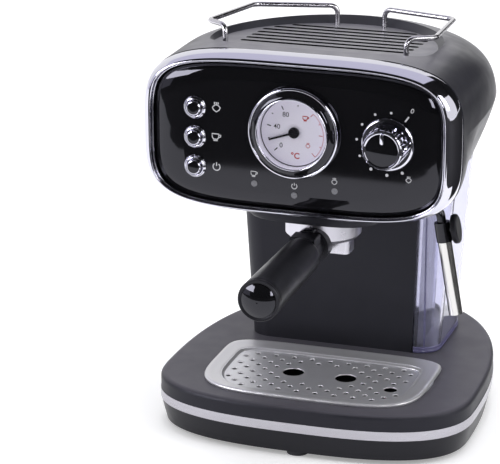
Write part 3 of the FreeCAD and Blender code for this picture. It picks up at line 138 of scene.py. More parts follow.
# Painted sheen: blends the colour towards a paler tint on faces that point up, standing in for the overhead
# light that the tops reflect
def painted_top_sheen(nodes, links, shade, top, top_from):
    facing = nodes.new("ShaderNodeNewGeometry")
    split = nodes.new("ShaderNodeSeparateXYZ")
    links.new(facing.outputs["Normal"], split.inputs["Vector"])
    upward = map_range(nodes, links, split.outputs["Z"], top_from, 1.0, 0.0, 1.0)
    mix = color_mix(nodes, links, upward)
    links.new(shade, mix.inputs[COLOR_A])
    mix.inputs[COLOR_B].default_value = (*top, 1)
    return mix.outputs[COLOR_OUT]


def surface(name, color, rough, metal=0.0, spread=0.1, rough_spread=0.05, grain_scale=60.0, stretch=None,
            bump=0.0, bump_scale=1500.0, alpha=1.0, transmission=0.0, ior=1.5, top=None, top_from=0.5):
    made, nodes, links = node_tree(name)
    shader = nodes["Principled BSDF"]
    speckle = grain(nodes, links, grain_scale, stretch)
    dark = [part * (1 - spread) for part in color]
    light = [min(part * (1 + spread), 1) for part in color]
    shade = tinted(nodes, links, speckle, dark, light)
    # top, when given, is the tint of the painted sheen on upward faces
    if top:
        shade = painted_top_sheen(nodes, links, shade, top, top_from)
    links.new(shade, shader.inputs["Base Color"])
    smoothest = max(rough - rough_spread, LEAST_ROUGHNESS)
    roughness = map_range(nodes, links, speckle, NOISE_LOW, NOISE_HIGH, smoothest, rough + rough_spread)
    links.new(roughness, shader.inputs["Roughness"])
    shader.inputs["Metallic"].default_value = metal
    shader.inputs["IOR"].default_value = ior
    if not metal:
        shader.inputs["Specular Tint"].default_value = COOL_SHEEN
    shader.inputs["Alpha"].default_value = alpha
    shader.inputs["Transmission Weight"].default_value = transmission
    if bump:
        texture = nodes.new("ShaderNodeBump")
        texture.inputs["Strength"].default_value = bump
        texture.inputs["Distance"].default_value = BUMP_DEPTH
        links.new(grain(nodes, links, bump_scale, stretch, BUMP_DETAIL), texture.inputs["Height"])
        links.new(texture.outputs["Normal"], shader.inputs["Normal"])
    return made


BRUSHED_ACROSS = (1.0, 40.0, 40.0)
BRUSHED_ROUND = (1.0, 1.0, 12.0)
DRAWN_UPRIGHT = (8.0, 8.0, 1.0)
MATERIALS = {
    "satin": surface("satin_black_plastic", (0.024, 0.024, 0.030), 0.42, spread=0.12, bump=0.10, ior=1.3),
    # The base's paler top tint is a painted sheen from overhead light
    "base": surface("base_black_plastic", (0.020, 0.020, 0.026), 0.42, spread=0.12, bump=0.10, ior=1.3,
                    top=(0.098, 0.094, 0.112)),
    "grip": surface("grip_black_plastic", (0.010, 0.010, 0.012), 0.36, spread=0.12, bump=0.10, ior=1.35),
    # The head's paler top tint is a painted sheen from overhead light
    "head": surface("head_black_paint", (0.028, 0.028, 0.034), 0.36, spread=0.12, bump=0.08, ior=1.4,
                    top=(0.135, 0.131, 0.150), top_from=0.90),
    "deep": surface("gloss_black_plastic", (0.004, 0.004, 0.005), 0.16, rough_spread=0.04,
                    grain_scale=40.0),
    "panel": surface("piano_black", (0.006, 0.006, 0.007), 0.045, rough_spread=0.015, grain_scale=20.0),
    "chrome": surface("polished_chrome", (0.66, 0.655, 0.74), 0.05, metal=1.0, spread=0.03,
                      rough_spread=0.015, grain_scale=30.0),
    "band": surface("satin_chrome_band", (0.46, 0.45, 0.49), 0.24, metal=1.0, rough_spread=0.06,
                    grain_scale=25.0, stretch=BRUSHED_ROUND),
    "grid": surface("brushed_stainless", (0.80, 0.80, 0.83), 0.38, metal=0.72, spread=0.05,
                    grain_scale=30.0, stretch=BRUSHED_ACROSS, bump=0.08, bump_scale=300.0),
    "rim": surface("rolled_stainless", (0.72, 0.715, 0.74), 0.34, metal=0.6, spread=0.05,
                   grain_scale=40.0, stretch=BRUSHED_ACROSS, bump=0.03, bump_scale=300.0),
    "wire": surface("drawn_steel_wire", (0.60, 0.59, 0.62), 0.22, metal=1.0, spread=0.12, rough_spread=0.06,
                    grain_scale=150.0, bump=0.05, bump_scale=1200.0),
    "cast": surface("satin_aluminium", (0.62, 0.61, 0.67), 0.30, metal=1.0, spread=0.08, rough_spread=0.06,
                    bump=0.05, bump_scale=700.0),
    "tube": surface("polished_tube", (0.68, 0.67, 0.66), 0.13, metal=1.0, spread=0.06, rough_spread=0.04,
                    grain_scale=80.0, stretch=DRAWN_UPRIGHT),
    "brass": surface("turned_brass", (0.60, 0.45, 0.21), 0.30, metal=1.0, grain_scale=80.0),
    "tank": surface("clear_tank", (0.76, 0.76, 0.88), 0.05, spread=0.02, rough_spread=0.03,
                    grain_scale=15.0, transmission=0.94, ior=1.3),
    "lens": surface("gauge_glass", (0.05, 0.05, 0.06), 0.03, spread=0.02, rough_spread=0.01,
                    grain_scale=15.0, alpha=0.05, ior=1.45),
    "light": surface("light_lens", (0.22, 0.22, 0.235), 0.2, spread=0.6, rough_spread=0.1,
                     grain_scale=1600.0, bump=0.8, bump_scale=1400.0),
    "red": surface("red_float", (0.42, 0.02, 0.02), 0.35, spread=0.15, rough_spread=0.06, grain_scale=90.0),
    "rubber": surface("matt_rubber", (0.018, 0.018, 0.020), 0.65, spread=0.2, rough_spread=0.08,
                      grain_scale=200.0, bump=0.2, bump_scale=1100.0),
    "hose": surface("clear_hose", (0.62, 0.60, 0.55), 0.45, spread=0.08, grain_scale=90.0),
    "dial": surface("dial_card", (0.90, 0.87, 0.98), 0.45, spread=0.03, grain_scale=30.0),
    "board": surface("board_green", (0.03, 0.16, 0.06), 0.45, spread=0.3, rough_spread=0.1,
                     grain_scale=120.0),
    "ink": surface("pale_print", (0.66, 0.66, 0.68), 0.45, spread=0.05, grain_scale=200.0),
    "red_ink": surface("red_print", (0.55, 0.05, 0.05), 0.5, spread=0.08, grain_scale=200.0),
    "tank_edge": surface("tank_edge", (0.16, 0.15, 0.30), 0.12, spread=0.15, rough_spread=0.04, alpha=0.75),
    # Black ink for the dial's print, also used for the painted groove shade round the dial
    "black_ink_and_shade": surface("black_print_and_groove_shade", (0.008, 0.008, 0.010), 0.6, spread=0.2, grain_scale=200.0),
}
NODES_BY_LOOK = {
    "satin": ("drip_tray", "column_housing", "tank_valve", "button_switches", "thermostat", "group_collar",
              "wand_bushing"),
    "base": ("base_top_cover",),
    # The base's lower shell takes this darker plastic as painted shade, darker than the plastic of the base's
    # top cover
    "grip": ("base_lower_shell", "handle_neck", "handle_grip", "wand_paddle"),
    "head": ("head_lower_shell", "head_top_cover"),
    "deep": ("gauge_needle", "wand_elbow"),
    "panel": ("front_panel", "gauge_can", "handle_end_cap"),
    "chrome": ("front_bezel", "gauge_ring", "button_upper", "button_middle", "button_lower", "button_rings",
               "knob_flange", "steam_knob"),
    "band": ("base_trim_band",),
    "grid": ("drip_grid", "shower_screen", "filter_basket"),
    "wire": ("base_screws", "pump", "cup_rail_left", "cup_rail_right", "rail_nuts", "shower_screw",
             "handle_bolt"),
    "cast": ("boiler_base", "boiler_top", "portafilter_cup", "twin_spout"),
    "tube": ("wand_tube",),
    "brass": ("valve_stem", "steam_valve"),
    "tank": ("water_tank", "tank_lid"),
    "lens": ("gauge_lens",),
    "light": ("indicator_lenses",),
    "red": ("tray_float",),
    "rubber": ("feet", "cord_gland", "tank_socket", "pump_mounts", "group_gasket"),
    "hose": ("suction_hose", "pressure_hose"),
    "dial": ("gauge_dial",),
    "board": ("control_board",),
}
for look, node_names in NODES_BY_LOOK.items():
    for node in node_names:
        slots = NODES[node].data.materials
        slots.clear()
        slots.append(MATERIALS[look])

# Mesh builders
ROUND_STEPS = 96
FRONT_STEPS = 256
GROUP_STEPS = 128
TIP_RADIUS = 1e-4
WELD_DISTANCE = 1e-6
CRISP = 30
SOFT = 50


def piece(name, mesh, look, body, smooth=True, sharp=None):
    mesh.name = name
    made = bpy.data.objects.new(name, mesh)
    bpy.context.scene.collection.objects.link(made)
    mesh.materials.clear()
    mesh.materials.append(MATERIALS[look])
    for face in mesh.polygons:
        face.use_smooth = smooth
    if sharp:
        mesh.set_sharp_from_angle(angle=math.radians(sharp))
    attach(made, body)
    return made


def in_metres(points):
    return [(x * MM, y * MM, z * MM) for x, y, z in points]


def mesh_from(points, faces):
    mesh = bpy.data.meshes.new("piece")
    mesh.from_pydata(in_metres(points), [], faces)
    editing = bmesh.new()
    editing.from_mesh(mesh)
    bmesh.ops.remove_doubles(editing, verts=editing.verts, dist=WELD_DISTANCE)
    bmesh.ops.recalc_face_normals(editing, faces=editing.faces)
    editing.to_mesh(mesh)
    editing.free()
    return mesh


def ring_faces(levels, count, closed=False):
    faces = []
    for level in range(levels if closed else levels - 1):
        low, high = level * count, (level + 1) % levels * count
        for step in range(count):
            after = (step + 1) % count
            faces.append((low + step, low + after, high + after, high + step))
    return faces


def lofted(rings, closed=False):
    # A closed loft joins its last ring to its first, and an open one has a cap at each end.
    count = len(rings[0])
    points = [spot for ring in rings for spot in ring]
    faces = ring_faces(len(rings), count, closed)
    if not closed:
        faces.append(tuple(range(count)))
        faces.append(tuple(range((len(rings) - 1) * count, len(rings) * count)))
    return mesh_from(points, faces)


def circle(x, y, radius, count):
    angles = [FULL_TURN * step / count for step in range(count)]
    return [(x + radius * math.cos(angle), y + radius * math.sin(angle)) for angle in angles]


def polar(x, y, radius, degrees):
    angle = math.radians(degrees)
    return (x + radius * math.cos(angle), y + radius * math.sin(angle))


def arc(x, y, radius, first, last, steps):
    return [polar(x, y, radius, first + (last - first) * step / steps) for step in range(steps + 1)]


def superellipse(half_width, half_height, power, count):
    outline = []
    for step in range(count):
        angle = FULL_TURN * step / count
        across, up = math.cos(angle), math.sin(angle)
        reach = (abs(across / half_width) ** power + abs(up / half_height) ** power) ** (-1 / power)
        outline.append((reach * across, reach * up))
    return outline


def turned(profile, x, z, closed=True):
    # Profile points are (radius, y), turned round a front-to-back line.
    rings = []
    for radius, y in profile:
        outline = circle(x, z, max(radius, TIP_RADIUS), ROUND_STEPS)
        rings.append([(across, y, up) for across, up in outline])
    return lofted(rings, closed)


def turned_on_panel(profile, x, z, closed=True):
    return turned([(radius, PANEL_FRONT + y) for radius, y in profile], x, z, closed)


# Front bezel and its inner lip, as half width, half height, corner power and distance ahead of the seam
BEZEL = ((116.6, 58.4, 3.9, 0.0), (117.2, 59.0, 3.9, 0.4), (117.5, 59.3, 3.9, 1.4), (117.5, 59.3, 3.9, 4.0),
         (117.1, 59.0, 3.9, 8.0), (116.2, 58.4, 3.95, 12.0), (114.6, 57.5, 4.0, 15.6),
         (112.7, 56.4, 4.1, 18.2), (110.9, 55.5, 4.2, 19.6), (109.5, 54.6, 4.3, 19.9),
         (108.8, 54.1, 4.4, 19.3), (108.6, 53.9, 4.4, 18.2), (108.5, 53.8, 4.45, 13.0),
         (108.5, 53.8, 4.45, 6.5), (103.4, 49.2, 4.5, 6.5), (103.4, 49.2, 4.5, 0.0))
BEZEL_LIP = ((108.4, 53.75, 4.45, 14.5), (108.3, 53.7, 4.45, 17.0), (107.9, 53.4, 4.5, 17.9),
             (107.3, 53.0, 4.5, 17.6), (107.05, 52.8, 4.5, 16.4), (107.05, 52.8, 4.5, 14.5))


def front_ring(half_width, half_height, power, ahead):
    outline = superellipse(half_width, half_height, power, FRONT_STEPS)
    return [(x, SEAM_Y - ahead, SEAM_MIDDLE + z) for x, z in outline]


def front_loft(rows):
    return lofted([front_ring(*row) for row in rows], True)


bezel = piece("bezel_dressed", front_loft(BEZEL), "chrome", "chassis")
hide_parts("front_bezel")
piece("bezel_lip", front_loft(BEZEL_LIP), "chrome", "chassis")

# Gauge: bright outer rim, dark slope up to a bright lip round the glass, and a pale wall down to the dial.
# The slope's dark gloss is a painted reflection, standing for chrome that mirrors the dark surroundings.
GAUGE_RIM = ((33.3, 0.0), (33.3, -4.2), (33.1, -5.0), (32.6, -5.5), (31.9, -5.6), (31.45, -5.4),
             (31.3, -4.9), (31.3, 0.0))
GAUGE_LIP = ((26.45, -7.6), (26.45, -8.4), (26.2, -8.75), (25.8, -8.85), (25.45, -8.7), (25.3, -8.3),
             (25.25, -7.6), (25.7, -7.4))
GAUGE_WELL = ((26.3, -7.6), (25.19, -7.6), (25.19, -1.0), (26.3, -1.0))
SLOPE_OUTER = 31.3
SLOPE_INNER = 26.4
SLOPE_FOOT = 5.2
SLOPE_RISE = 3.1
SLOPE_CROWN = 1.8
SLOPE_STEPS = 12


def slope_profile():
    crown = []
    for step in range(SLOPE_STEPS + 1):
        share = step / SLOPE_STEPS
        radius = SLOPE_OUTER - (SLOPE_OUTER - SLOPE_INNER) * share
        crown.append((radius, -SLOPE_FOOT - SLOPE_RISE * (1 - (1 - share) ** SLOPE_CROWN)))
    return [(SLOPE_OUTER, 0.0)] + crown + [(SLOPE_INNER, 0.0)]


def gauge_piece(name, profile, look, sharp=None):
    return piece(name, turned_on_panel(profile, 0, GAUGE_Z), look, "chassis", sharp=sharp)


gauge_rim = gauge_piece("gauge_rim", GAUGE_RIM, "chrome")
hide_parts("gauge_ring")
# Painted reflection: the slope is dark gloss in place of chrome mirroring the dark surroundings
gauge_piece("gauge_slope", slope_profile(), "panel", SOFT)
gauge_piece("gauge_inner_lip", GAUGE_LIP, "chrome")
gauge_piece("gauge_well", GAUGE_WELL, "dial", SOFT)

# Flat print, and the painted groove shade round the dial, drawn as ribbons that stand just proud of the face
# under them
PRINT_LIFT = 0.06
DISC_STEPS = 20
LETTER_SHARE = 0.7
AHEAD_OF_PANEL = -200.0


class FlatMarks:
    def __init__(self, depth):
        self.points = []
        self.faces = []
        self.depth = depth

    def ribbon(self, path, width, closed=False):
        count = len(path)
        start = len(self.points)
        for index, (x, z) in enumerate(path):
            before = path[index - 1] if index or closed else path[index]
            after = path[(index + 1) % count] if index + 1 < count or closed else path[index]
            along = Vector((after[0] - before[0], after[1] - before[1])).normalized()
            side = Vector((-along.y, along.x)) * (width / 2)
            y = self.depth(x, z) - PRINT_LIFT
            self.points.append((x + side.x, y, z + side.y))
            self.points.append((x - side.x, y, z - side.y))
        for index in range(count if closed else count - 1):
            here = start + 2 * index
            following = start + 2 * ((index + 1) % count)
            self.faces.append((here, here + 1, following + 1, following))

    def disc(self, x, z, radius):
        start = len(self.points)
        for across, up in circle(x, z, radius, DISC_STEPS):
            self.points.append((across, self.depth(across, up) - PRINT_LIFT, up))
        self.faces.append(tuple(range(start, start + DISC_STEPS)))

    def text(self, words, x, z, height, lean=0.0, weight=0.0):
        curve = bpy.data.curves.new("words", "FONT")
        curve.body = words
        curve.size = height / LETTER_SHARE
        curve.offset = weight
        curve.align_x = "CENTER"
        curve.align_y = "CENTER"
        carrier = bpy.data.objects.new("words", curve)
        flat = bpy.data.meshes.new_from_object(carrier)
        start = len(self.points)
        turn = math.radians(lean)
        for vertex in flat.vertices:
            across = x + vertex.co.x * math.cos(turn) - vertex.co.y * math.sin(turn)
            up = z + vertex.co.x * math.sin(turn) + vertex.co.y * math.cos(turn)
            self.points.append((across, self.depth(across, up) - PRINT_LIFT, up))
        for face in flat.polygons:
            self.faces.append(tuple(start + corner for corner in face.vertices))
        bpy.data.objects.remove(carrier)
        bpy.data.curves.remove(curve)
        bpy.data.meshes.remove(flat)

    def place(self, name, look, slot):
        mesh = bpy.data.meshes.new(name)
        mesh.from_pydata(in_metres(self.points), [], self.faces)
        editing = bmesh.new()
        editing.from_mesh(mesh)
        for face in editing.faces:
            if face.normal.y > 0:
                face.normal_flip()
        editing.to_mesh(mesh)
        editing.free()
        return piece(name, mesh, look, "chassis", smooth=False)


def on_dial(x, z):
    return DIAL_FRONT


def on_panel(x, z):
    start = Vector((x * MM, AHEAD_OF_PANEL * MM, z * MM))
    hit, place, _, _ = NODES["front_panel"].ray_cast(start, Vector((0, 1, 0)))
    return place.y / MM if hit else PANEL_FRONT


# Symbols, on a grid that runs from -1 to 1
CUP_BOWL = ((-1.0, 0.6), (0.55, 0.6), (0.5, -0.2), (0.2, -0.6), (-0.65, -0.6), (-0.95, -0.2))
CUP_HANDLE = ((0.55, 0.4), (1.0, 0.35), (0.95, 0.0), (0.5, -0.2))
CUP_SAUCER = ((-0.7, -0.9), (0.3, -0.9))
STEAM_DROP = ((-0.3, 0.45), (-0.85, -0.1), (-0.6, -0.6), (0.0, -1.0), (0.6, -0.6), (0.85, -0.1),
              (0.3, 0.45))
STEAM_JETS = [((across, 0.6), (across, 1.05)) for across in (-0.4, 0.0, 0.4)]
POWER_RING = arc(0.0, -0.1, 0.85, 125, 415, 24)
POWER_BAR = ((0.0, 0.1), (0.0, 1.0))


def symbol(ink, outlines, lines, x, z, size, width):
    for shapes, closed in ((outlines, True), (lines, False)):
        for shape in shapes:
            path = [(x + across * size / 2, z + up * size / 2) for across, up in shape]
            ink.ribbon(path, width, closed)


def cup_icon(ink, x, z, size, width):
    symbol(ink, [CUP_BOWL], [CUP_HANDLE, CUP_SAUCER], x, z, size, width)


def steam_icon(ink, x, z, size, width):
    symbol(ink, [STEAM_DROP], STEAM_JETS, x, z, size, width)


def power_icon(ink, x, z, size, width):
    symbol(ink, [], [POWER_RING, POWER_BAR], x, z, size, width)


# Dial print: ticks are (degrees, inner radius, outer radius), numbers are (words, x, height over the axis)
BLACK_TICKS = ((224.4, 17.3, 20.5), (196.0, 19.0, 20.2), (168.3, 17.6, 20.5), (141.8, 19.9, 21.0),
               (116.5, 18.0, 21.0), (82.2, 19.4, 20.5))
BLACK_TICK_WIDTH = 0.75
RED_TICKS = ((46.4, 17.4, 19.9), (22.0, 19.2, 20.6), (-2.4, 18.2, 21.1), (-25.7, 20.6, 21.9),
             (-47.0, 19.2, 22.6))
RED_TICK_WIDTH = 0.5
NUMBERS = (("0", -9.7, -10.2), ("40", -12.8, 3.4), ("80", -6.3, 12.6))
NUMBER_HEIGHT = 3.5
NUMBER_WEIGHT = 0.02
# Painted shade: a dark ring at the dial's edge, standing for the shade in the groove where the pale wall
# meets the dial
GROOVE_SHADE_RADIUS = 24.75
GROOVE_SHADE_WIDTH = 0.7
# The red sweep starts at the first red tick, and each step turns it down and takes it a little farther out
SWEEP_START = 46.4
SWEEP_TURN = 3.6
SWEEP_RADIUS = 20.2
SWEEP_GROWTH = 0.1
SWEEP_POINTS = 27
SWEEP_WIDTH = 0.3
CUP_REACH = 14.1
CUP_DEGREES = 53


def ticks(ink, rows, width):
    for degrees, inner, outer in rows:
        ink.ribbon([polar(0, GAUGE_Z, reach, degrees) for reach in (inner, outer)], width)


def sweep_path():
    path = []
    for step in range(SWEEP_POINTS):
        radius = SWEEP_RADIUS + step * SWEEP_GROWTH
        path.append(polar(0, GAUGE_Z, radius, SWEEP_START - step * SWEEP_TURN))
    return path


dial_black = FlatMarks(on_dial)
ticks(dial_black, BLACK_TICKS, BLACK_TICK_WIDTH)
# The dark ring at the dial's edge is painted groove shade
dial_black.ribbon(circle(0, GAUGE_Z, GROOVE_SHADE_RADIUS, ROUND_STEPS), GROOVE_SHADE_WIDTH, closed=True)
for words, x, rise in NUMBERS:
    dial_black.text(words, x, GAUGE_Z + rise, NUMBER_HEIGHT, weight=NUMBER_WEIGHT)
dial_black.place("dial_black_print_and_groove_shade", "black_ink_and_shade", "satin_black")

dial_red = FlatMarks(on_dial)
dial_red.ribbon(sweep_path(), SWEEP_WIDTH)
ticks(dial_red, RED_TICKS, RED_TICK_WIDTH)
cup_icon(dial_red, *polar(0, GAUGE_Z, CUP_REACH, CUP_DEGREES), size=4.4, width=0.75)
steam_icon(dial_red, x=10.2, z=GAUGE_Z - 8.6, size=3.8, width=0.45)
dial_red.text("°C", x=0.8, z=GAUGE_Z - 17.2, height=4.2, weight=0.15)
dial_red.place("dial_print_red", "red_ink", "red_plastic")

# Panel print: symbols beside the buttons and over the lights, then dots, mark and symbols round the knob
BUTTON_ICON_X = BUTTON_X + 16.0
LIGHT_ICON_Z = SEAM_MIDDLE - 27.2
# Rows of symbol, x, z, size and line width
PANEL_ICONS = ((steam_icon, BUTTON_ICON_X, BUTTON_LEVELS["upper"] + 1.2, 7.0, 0.8),
               (cup_icon, BUTTON_ICON_X, BUTTON_LEVELS["middle"] + 1.3, 6.6, 0.8),
               (power_icon, BUTTON_ICON_X, BUTTON_LEVELS["lower"] + 1.0, 6.2, 0.8),
               (cup_icon, -30.0, LIGHT_ICON_Z + 0.2, 5.0, 0.6),
               (power_icon, 0.0, LIGHT_ICON_Z - 6.2, 4.6, 0.6),
               (steam_icon, 29.6, LIGHT_ICON_Z, 4.8, 0.55))
DOT_REACH = 22.8
SMALL_DOT = 0.95
LARGE_DOT = 1.15
DOTS = ((85, SMALL_DOT), (115, SMALL_DOT), (146, SMALL_DOT), (176, SMALL_DOT), (207, SMALL_DOT),
        (238, LARGE_DOT), (269, LARGE_DOT), (298, LARGE_DOT))
OFF_MARK_DEGREES = 55
OFF_MARK_ENDS = (21.0, 25.6)
OFF_NUMBER_REACH = 30.4
OFF_NUMBER_DEGREES = 56
KNOB_ICON_REACH = 29.0
KNOB_ICON_DEGREES = 302


def round_knob(reach, degrees):
    return polar(KNOB_X, KNOB_Z, reach, degrees)


panel_print = FlatMarks(on_panel)
for icon, x, z, size, width in PANEL_ICONS:
    icon(panel_print, x, z, size, width)
for degrees, radius in DOTS:
    panel_print.disc(*round_knob(DOT_REACH, degrees), radius)
panel_print.ribbon([round_knob(reach, OFF_MARK_DEGREES) for reach in OFF_MARK_ENDS], width=1.1)
panel_print.text("0", *round_knob(OFF_NUMBER_REACH, OFF_NUMBER_DEGREES), height=3.4, lean=-18)
steam_icon(panel_print, *round_knob(KNOB_ICON_REACH, KNOB_ICON_DEGREES), size=4.6, width=0.55)
panel_print.place("panel_print", "ink", "aluminium")

# Steam knob: scalloped skirt and bright rim in rows of radius, distance ahead of its back and scallop depth
KNOB = ((14.2, 0.0, 0.0), (15.0, 0.6, 0.5), (15.0, 2.0, 0.9), (14.9, 7.0, 0.9), (14.8, 11.2, 0.9),
        (14.6, 12.4, 0.3), (14.2, 13.3, 0.0), (13.5, 13.9, 0.0), (12.7, 13.9, 0.0), (12.2, 13.4, 0.0),
        (11.8, 13.3, 0.0), (6.0, 13.3, 0.0), (0.01, 13.3, 0.0))
KNOB_FACE = ((11.6, 13.0), (11.6, 13.4), (11.2, 13.5), (0.01, 13.5))
KNOB_SCALLOPS = 18
KNOB_STEPS = 216
# The pointer's section is (distance ahead of the knob's back, how far its edge draws in)
POINTER_SECTION = ((12.8, 0.0), (14.05, 0.0), (14.3, 0.12), (14.4, 0.4))
POINTER_HALF_WIDTH = 1.3
POINTER_LOW = 4.2
POINTER_HIGH = 12.0
POINTER_STEPS = 12


def knob_ring(radius, ahead, dip):
    ring = []
    for step in range(KNOB_STEPS):
        angle = FULL_TURN * step / KNOB_STEPS
        reach = radius - dip * max(0.0, math.cos(angle * KNOB_SCALLOPS)) ** 2
        ring.append((KNOB_X + reach * math.cos(angle), KNOB_BACK - ahead, KNOB_Z + reach * math.sin(angle)))
    return ring


def pointer_mesh():
    lower = KNOB_Z + POINTER_LOW + POINTER_HALF_WIDTH
    upper = KNOB_Z + POINTER_HIGH - POINTER_HALF_WIDTH
    rings = []
    for ahead, shrink in POINTER_SECTION:
        reach = POINTER_HALF_WIDTH - shrink
        outline = arc(KNOB_X, upper, reach, 0, 180, POINTER_STEPS)
        outline += arc(KNOB_X, lower, reach, 180, 360, POINTER_STEPS)
        rings.append([(x, KNOB_BACK - ahead, z) for x, z in outline])
    return lofted(rings)


knob_mesh = lofted([knob_ring(*row) for row in KNOB])
knob = piece("knob_dressed", knob_mesh, "chrome", "steam_control", sharp=CRISP)
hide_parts("steam_knob")
knob_face_profile = [(radius, KNOB_BACK - ahead) for radius, ahead in KNOB_FACE]
knob_face_mesh = turned(knob_face_profile, KNOB_X, KNOB_Z, closed=False)
piece("knob_face", knob_face_mesh, "panel", "steam_control", sharp=CRISP)
piece("knob_pointer", pointer_mesh(), "chrome", "steam_control")

# Button caps with a dark gloss face, a painted reflection of the dark front in the chrome dome, and their
# two-step rings
CAP = ((5.6, 9.8), (5.6, -2.8), (5.5, -3.7), (5.2, -4.4), (4.8, -4.75), (4.4, -4.9), (2.2, -4.98),
       (0.01, -5.0))
CAP_PAINTED_REFLECTION = ((4.45, -4.7), (4.45, -5.0), (4.2, -5.12), (2.2, -5.18), (0.01, -5.2))
CAP_RING = ((5.9, 9.0), (5.9, -1.9), (6.2, -2.5), (6.7, -2.6), (7.2, -2.3), (7.35, -1.6), (7.9, -1.4),
            (8.3, -1.0), (8.4, 0.0), (7.4, 0.0), (7.4, 9.0))
for name, level in BUTTON_LEVELS.items():
    body = name + "_button"
    cap_mesh = turned_on_panel(CAP, BUTTON_X, level, closed=False)
    cap = piece("cap_" + name, cap_mesh, "chrome", body)
    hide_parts("button_" + name)
    # Dark gloss disc over the middle of the chrome cap: painted reflection of the dark front
    reflection_disc_mesh = turned_on_panel(CAP_PAINTED_REFLECTION, BUTTON_X, level, closed=False)
    piece("cap_painted_reflection_" + name, reflection_disc_mesh, "panel", body)
    ring_mesh = turned_on_panel(CAP_RING, BUTTON_X, level)
    ring = piece("cap_ring_" + name, ring_mesh, "chrome", "chassis")
    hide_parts("button_rings")

# Handle grip with its end ring, and the plate and clip over its neck
GRIP = ((3.2, GRIP_BACK), (11.8, GRIP_BACK), (13.0, GRIP_BACK - 0.6), (13.9, GRIP_BACK - 3.0),
        (14.1, GRIP_BACK - 6.0), (15.2, GRIP_FRONT + 8.0), (15.3, GRIP_FRONT + 3.4),
        (15.15, GRIP_FRONT + 3.0), (15.15, GRIP_FRONT + 2.6), (15.35, GRIP_FRONT + 2.2),
        (15.3, GRIP_FRONT + 0.7), (14.8, GRIP_FRONT), (13.1, GRIP_FRONT), (12.55, GRIP_FRONT + 0.5),
        (12.45, GRIP_FRONT + 3.0), (3.2, GRIP_FRONT + 6.2))
NECK_SEAT = HANDLE_Z + 6.0
BEVEL_SHARE = 0.3


def slab(half_width, front, back, top, edge):
    bevel = BEVEL_SHARE * edge
    rings = []
    for z, shrink in ((NECK_SEAT, 0.0), (top - edge, 0.0), (top - bevel, bevel), (top, edge)):
        x, y_low, y_high = half_width - shrink, front + shrink, back - shrink
        rings.append([(-x, y_low, z), (x, y_low, z), (x, y_high, z), (-x, y_high, z)])
    return lofted(rings)


grip = piece("grip_dressed", turned(GRIP, 0, HANDLE_Z), "grip", "portafilter", sharp=SOFT)
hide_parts("handle_grip")
neck_plate = slab(half_width=9.5, front=GRIP_BACK - 1.6, back=GRIP_BACK + 13.4, top=HANDLE_Z + 13.2, edge=1.0)
piece("neck_plate", neck_plate, "grip", "portafilter", smooth=False)
neck_clip = slab(half_width=4.5, front=GRIP_BACK + 12.4, back=GRIP_BACK + 19.4, top=HANDLE_Z + 15.0, edge=1.6)
piece("neck_clip", neck_clip, "deep", "portafilter", smooth=False)

# Skirt under the head round the brewing group, in rows of half width, half depth, corner power and drop
SKIRT = ((54.0, 46.8, 3.4, 0.0), (52.6, 46.4, 3.4, 11.0), (52.0, 46.0, 3.4, 13.4), (51.0, 45.2, 3.4, 14.4),
         (43.2, 43.2, 2.0, 14.4), (42.4, 42.4, 2.0, 13.6), (42.4, 42.4, 2.0, 0.0))


def group_ring(half_width, half_depth, power, drop):
    outline = superellipse(half_width, half_depth, power, GROUP_STEPS)
    return [(x, GROUP_Y + y, HEAD_BOTTOM - drop) for x, y in outline]


skirt_mesh = lofted([group_ring(*row) for row in SKIRT], True)
piece("group_skirt", skirt_mesh, "satin", "chassis", sharp=SOFT)

# Painted shade in the vent slots of the cup dish: dark gloss inserts standing in for the shade inside the
# slots
SLOT_COUNT = 7
SLOT_FIRST = -60.0
SLOT_PITCH = 13.2
SLOT_HALF_LENGTH = 64.0
SLOT_MARGIN = 3.5
DISH_WIDEST = -60.0
DISH_REACH = 104.0
DISH_FLOOR_HALF_WIDTH = 81.0
ABOVE_DISH = 400.0
SLOT_SHADE_HALF_WIDTH = 2.48
SLOT_SHADE_END_GAP = 0.02
SLOT_SHADE_END_STEPS = 10
# The painted shade insert's section is (distance in from its edge, rise over the dish floor)
SLOT_SHADE_SECTION = ((0.0, 0.05), (0.3, 0.02), (0.35, -2.9), (0.0, -2.9))


def on_dish(y):
    start = Vector((0, y * MM, ABOVE_DISH * MM))
    _, place, _, _ = NODES["head_top_cover"].ray_cast(start, Vector((0, 0, -1)))
    return place.z / MM


def slot_half_length(y):
    share = max(y - DISH_WIDEST, 0) / DISH_REACH
    room = DISH_FLOOR_HALF_WIDTH * math.sqrt(1 - share * share) - SLOT_MARGIN
    return min(SLOT_HALF_LENGTH, room) - SLOT_SHADE_END_GAP


def slot_shade_mesh(y):
    level = (on_dish(y - SLOT_PITCH / 2) + on_dish(y + SLOT_PITCH / 2)) / 2
    straight = slot_half_length(y) - SLOT_SHADE_HALF_WIDTH
    rings = []
    for inset, rise in SLOT_SHADE_SECTION:
        reach = SLOT_SHADE_HALF_WIDTH - inset
        outline = arc(straight, y, reach, -90, 90, SLOT_SHADE_END_STEPS)
        outline += arc(-straight, y, reach, 90, 270, SLOT_SHADE_END_STEPS)
        rings.append([(across, along, level + rise) for across, along in outline])
    return lofted(rings, True)


# Each slot gets its painted shade insert in dark gloss
for row in range(SLOT_COUNT):
    slot_shade = slot_shade_mesh(SLOT_FIRST + row * SLOT_PITCH)
    piece("vent_painted_shade_%d" % (row + 1), slot_shade, "deep", "chassis", sharp=SOFT)

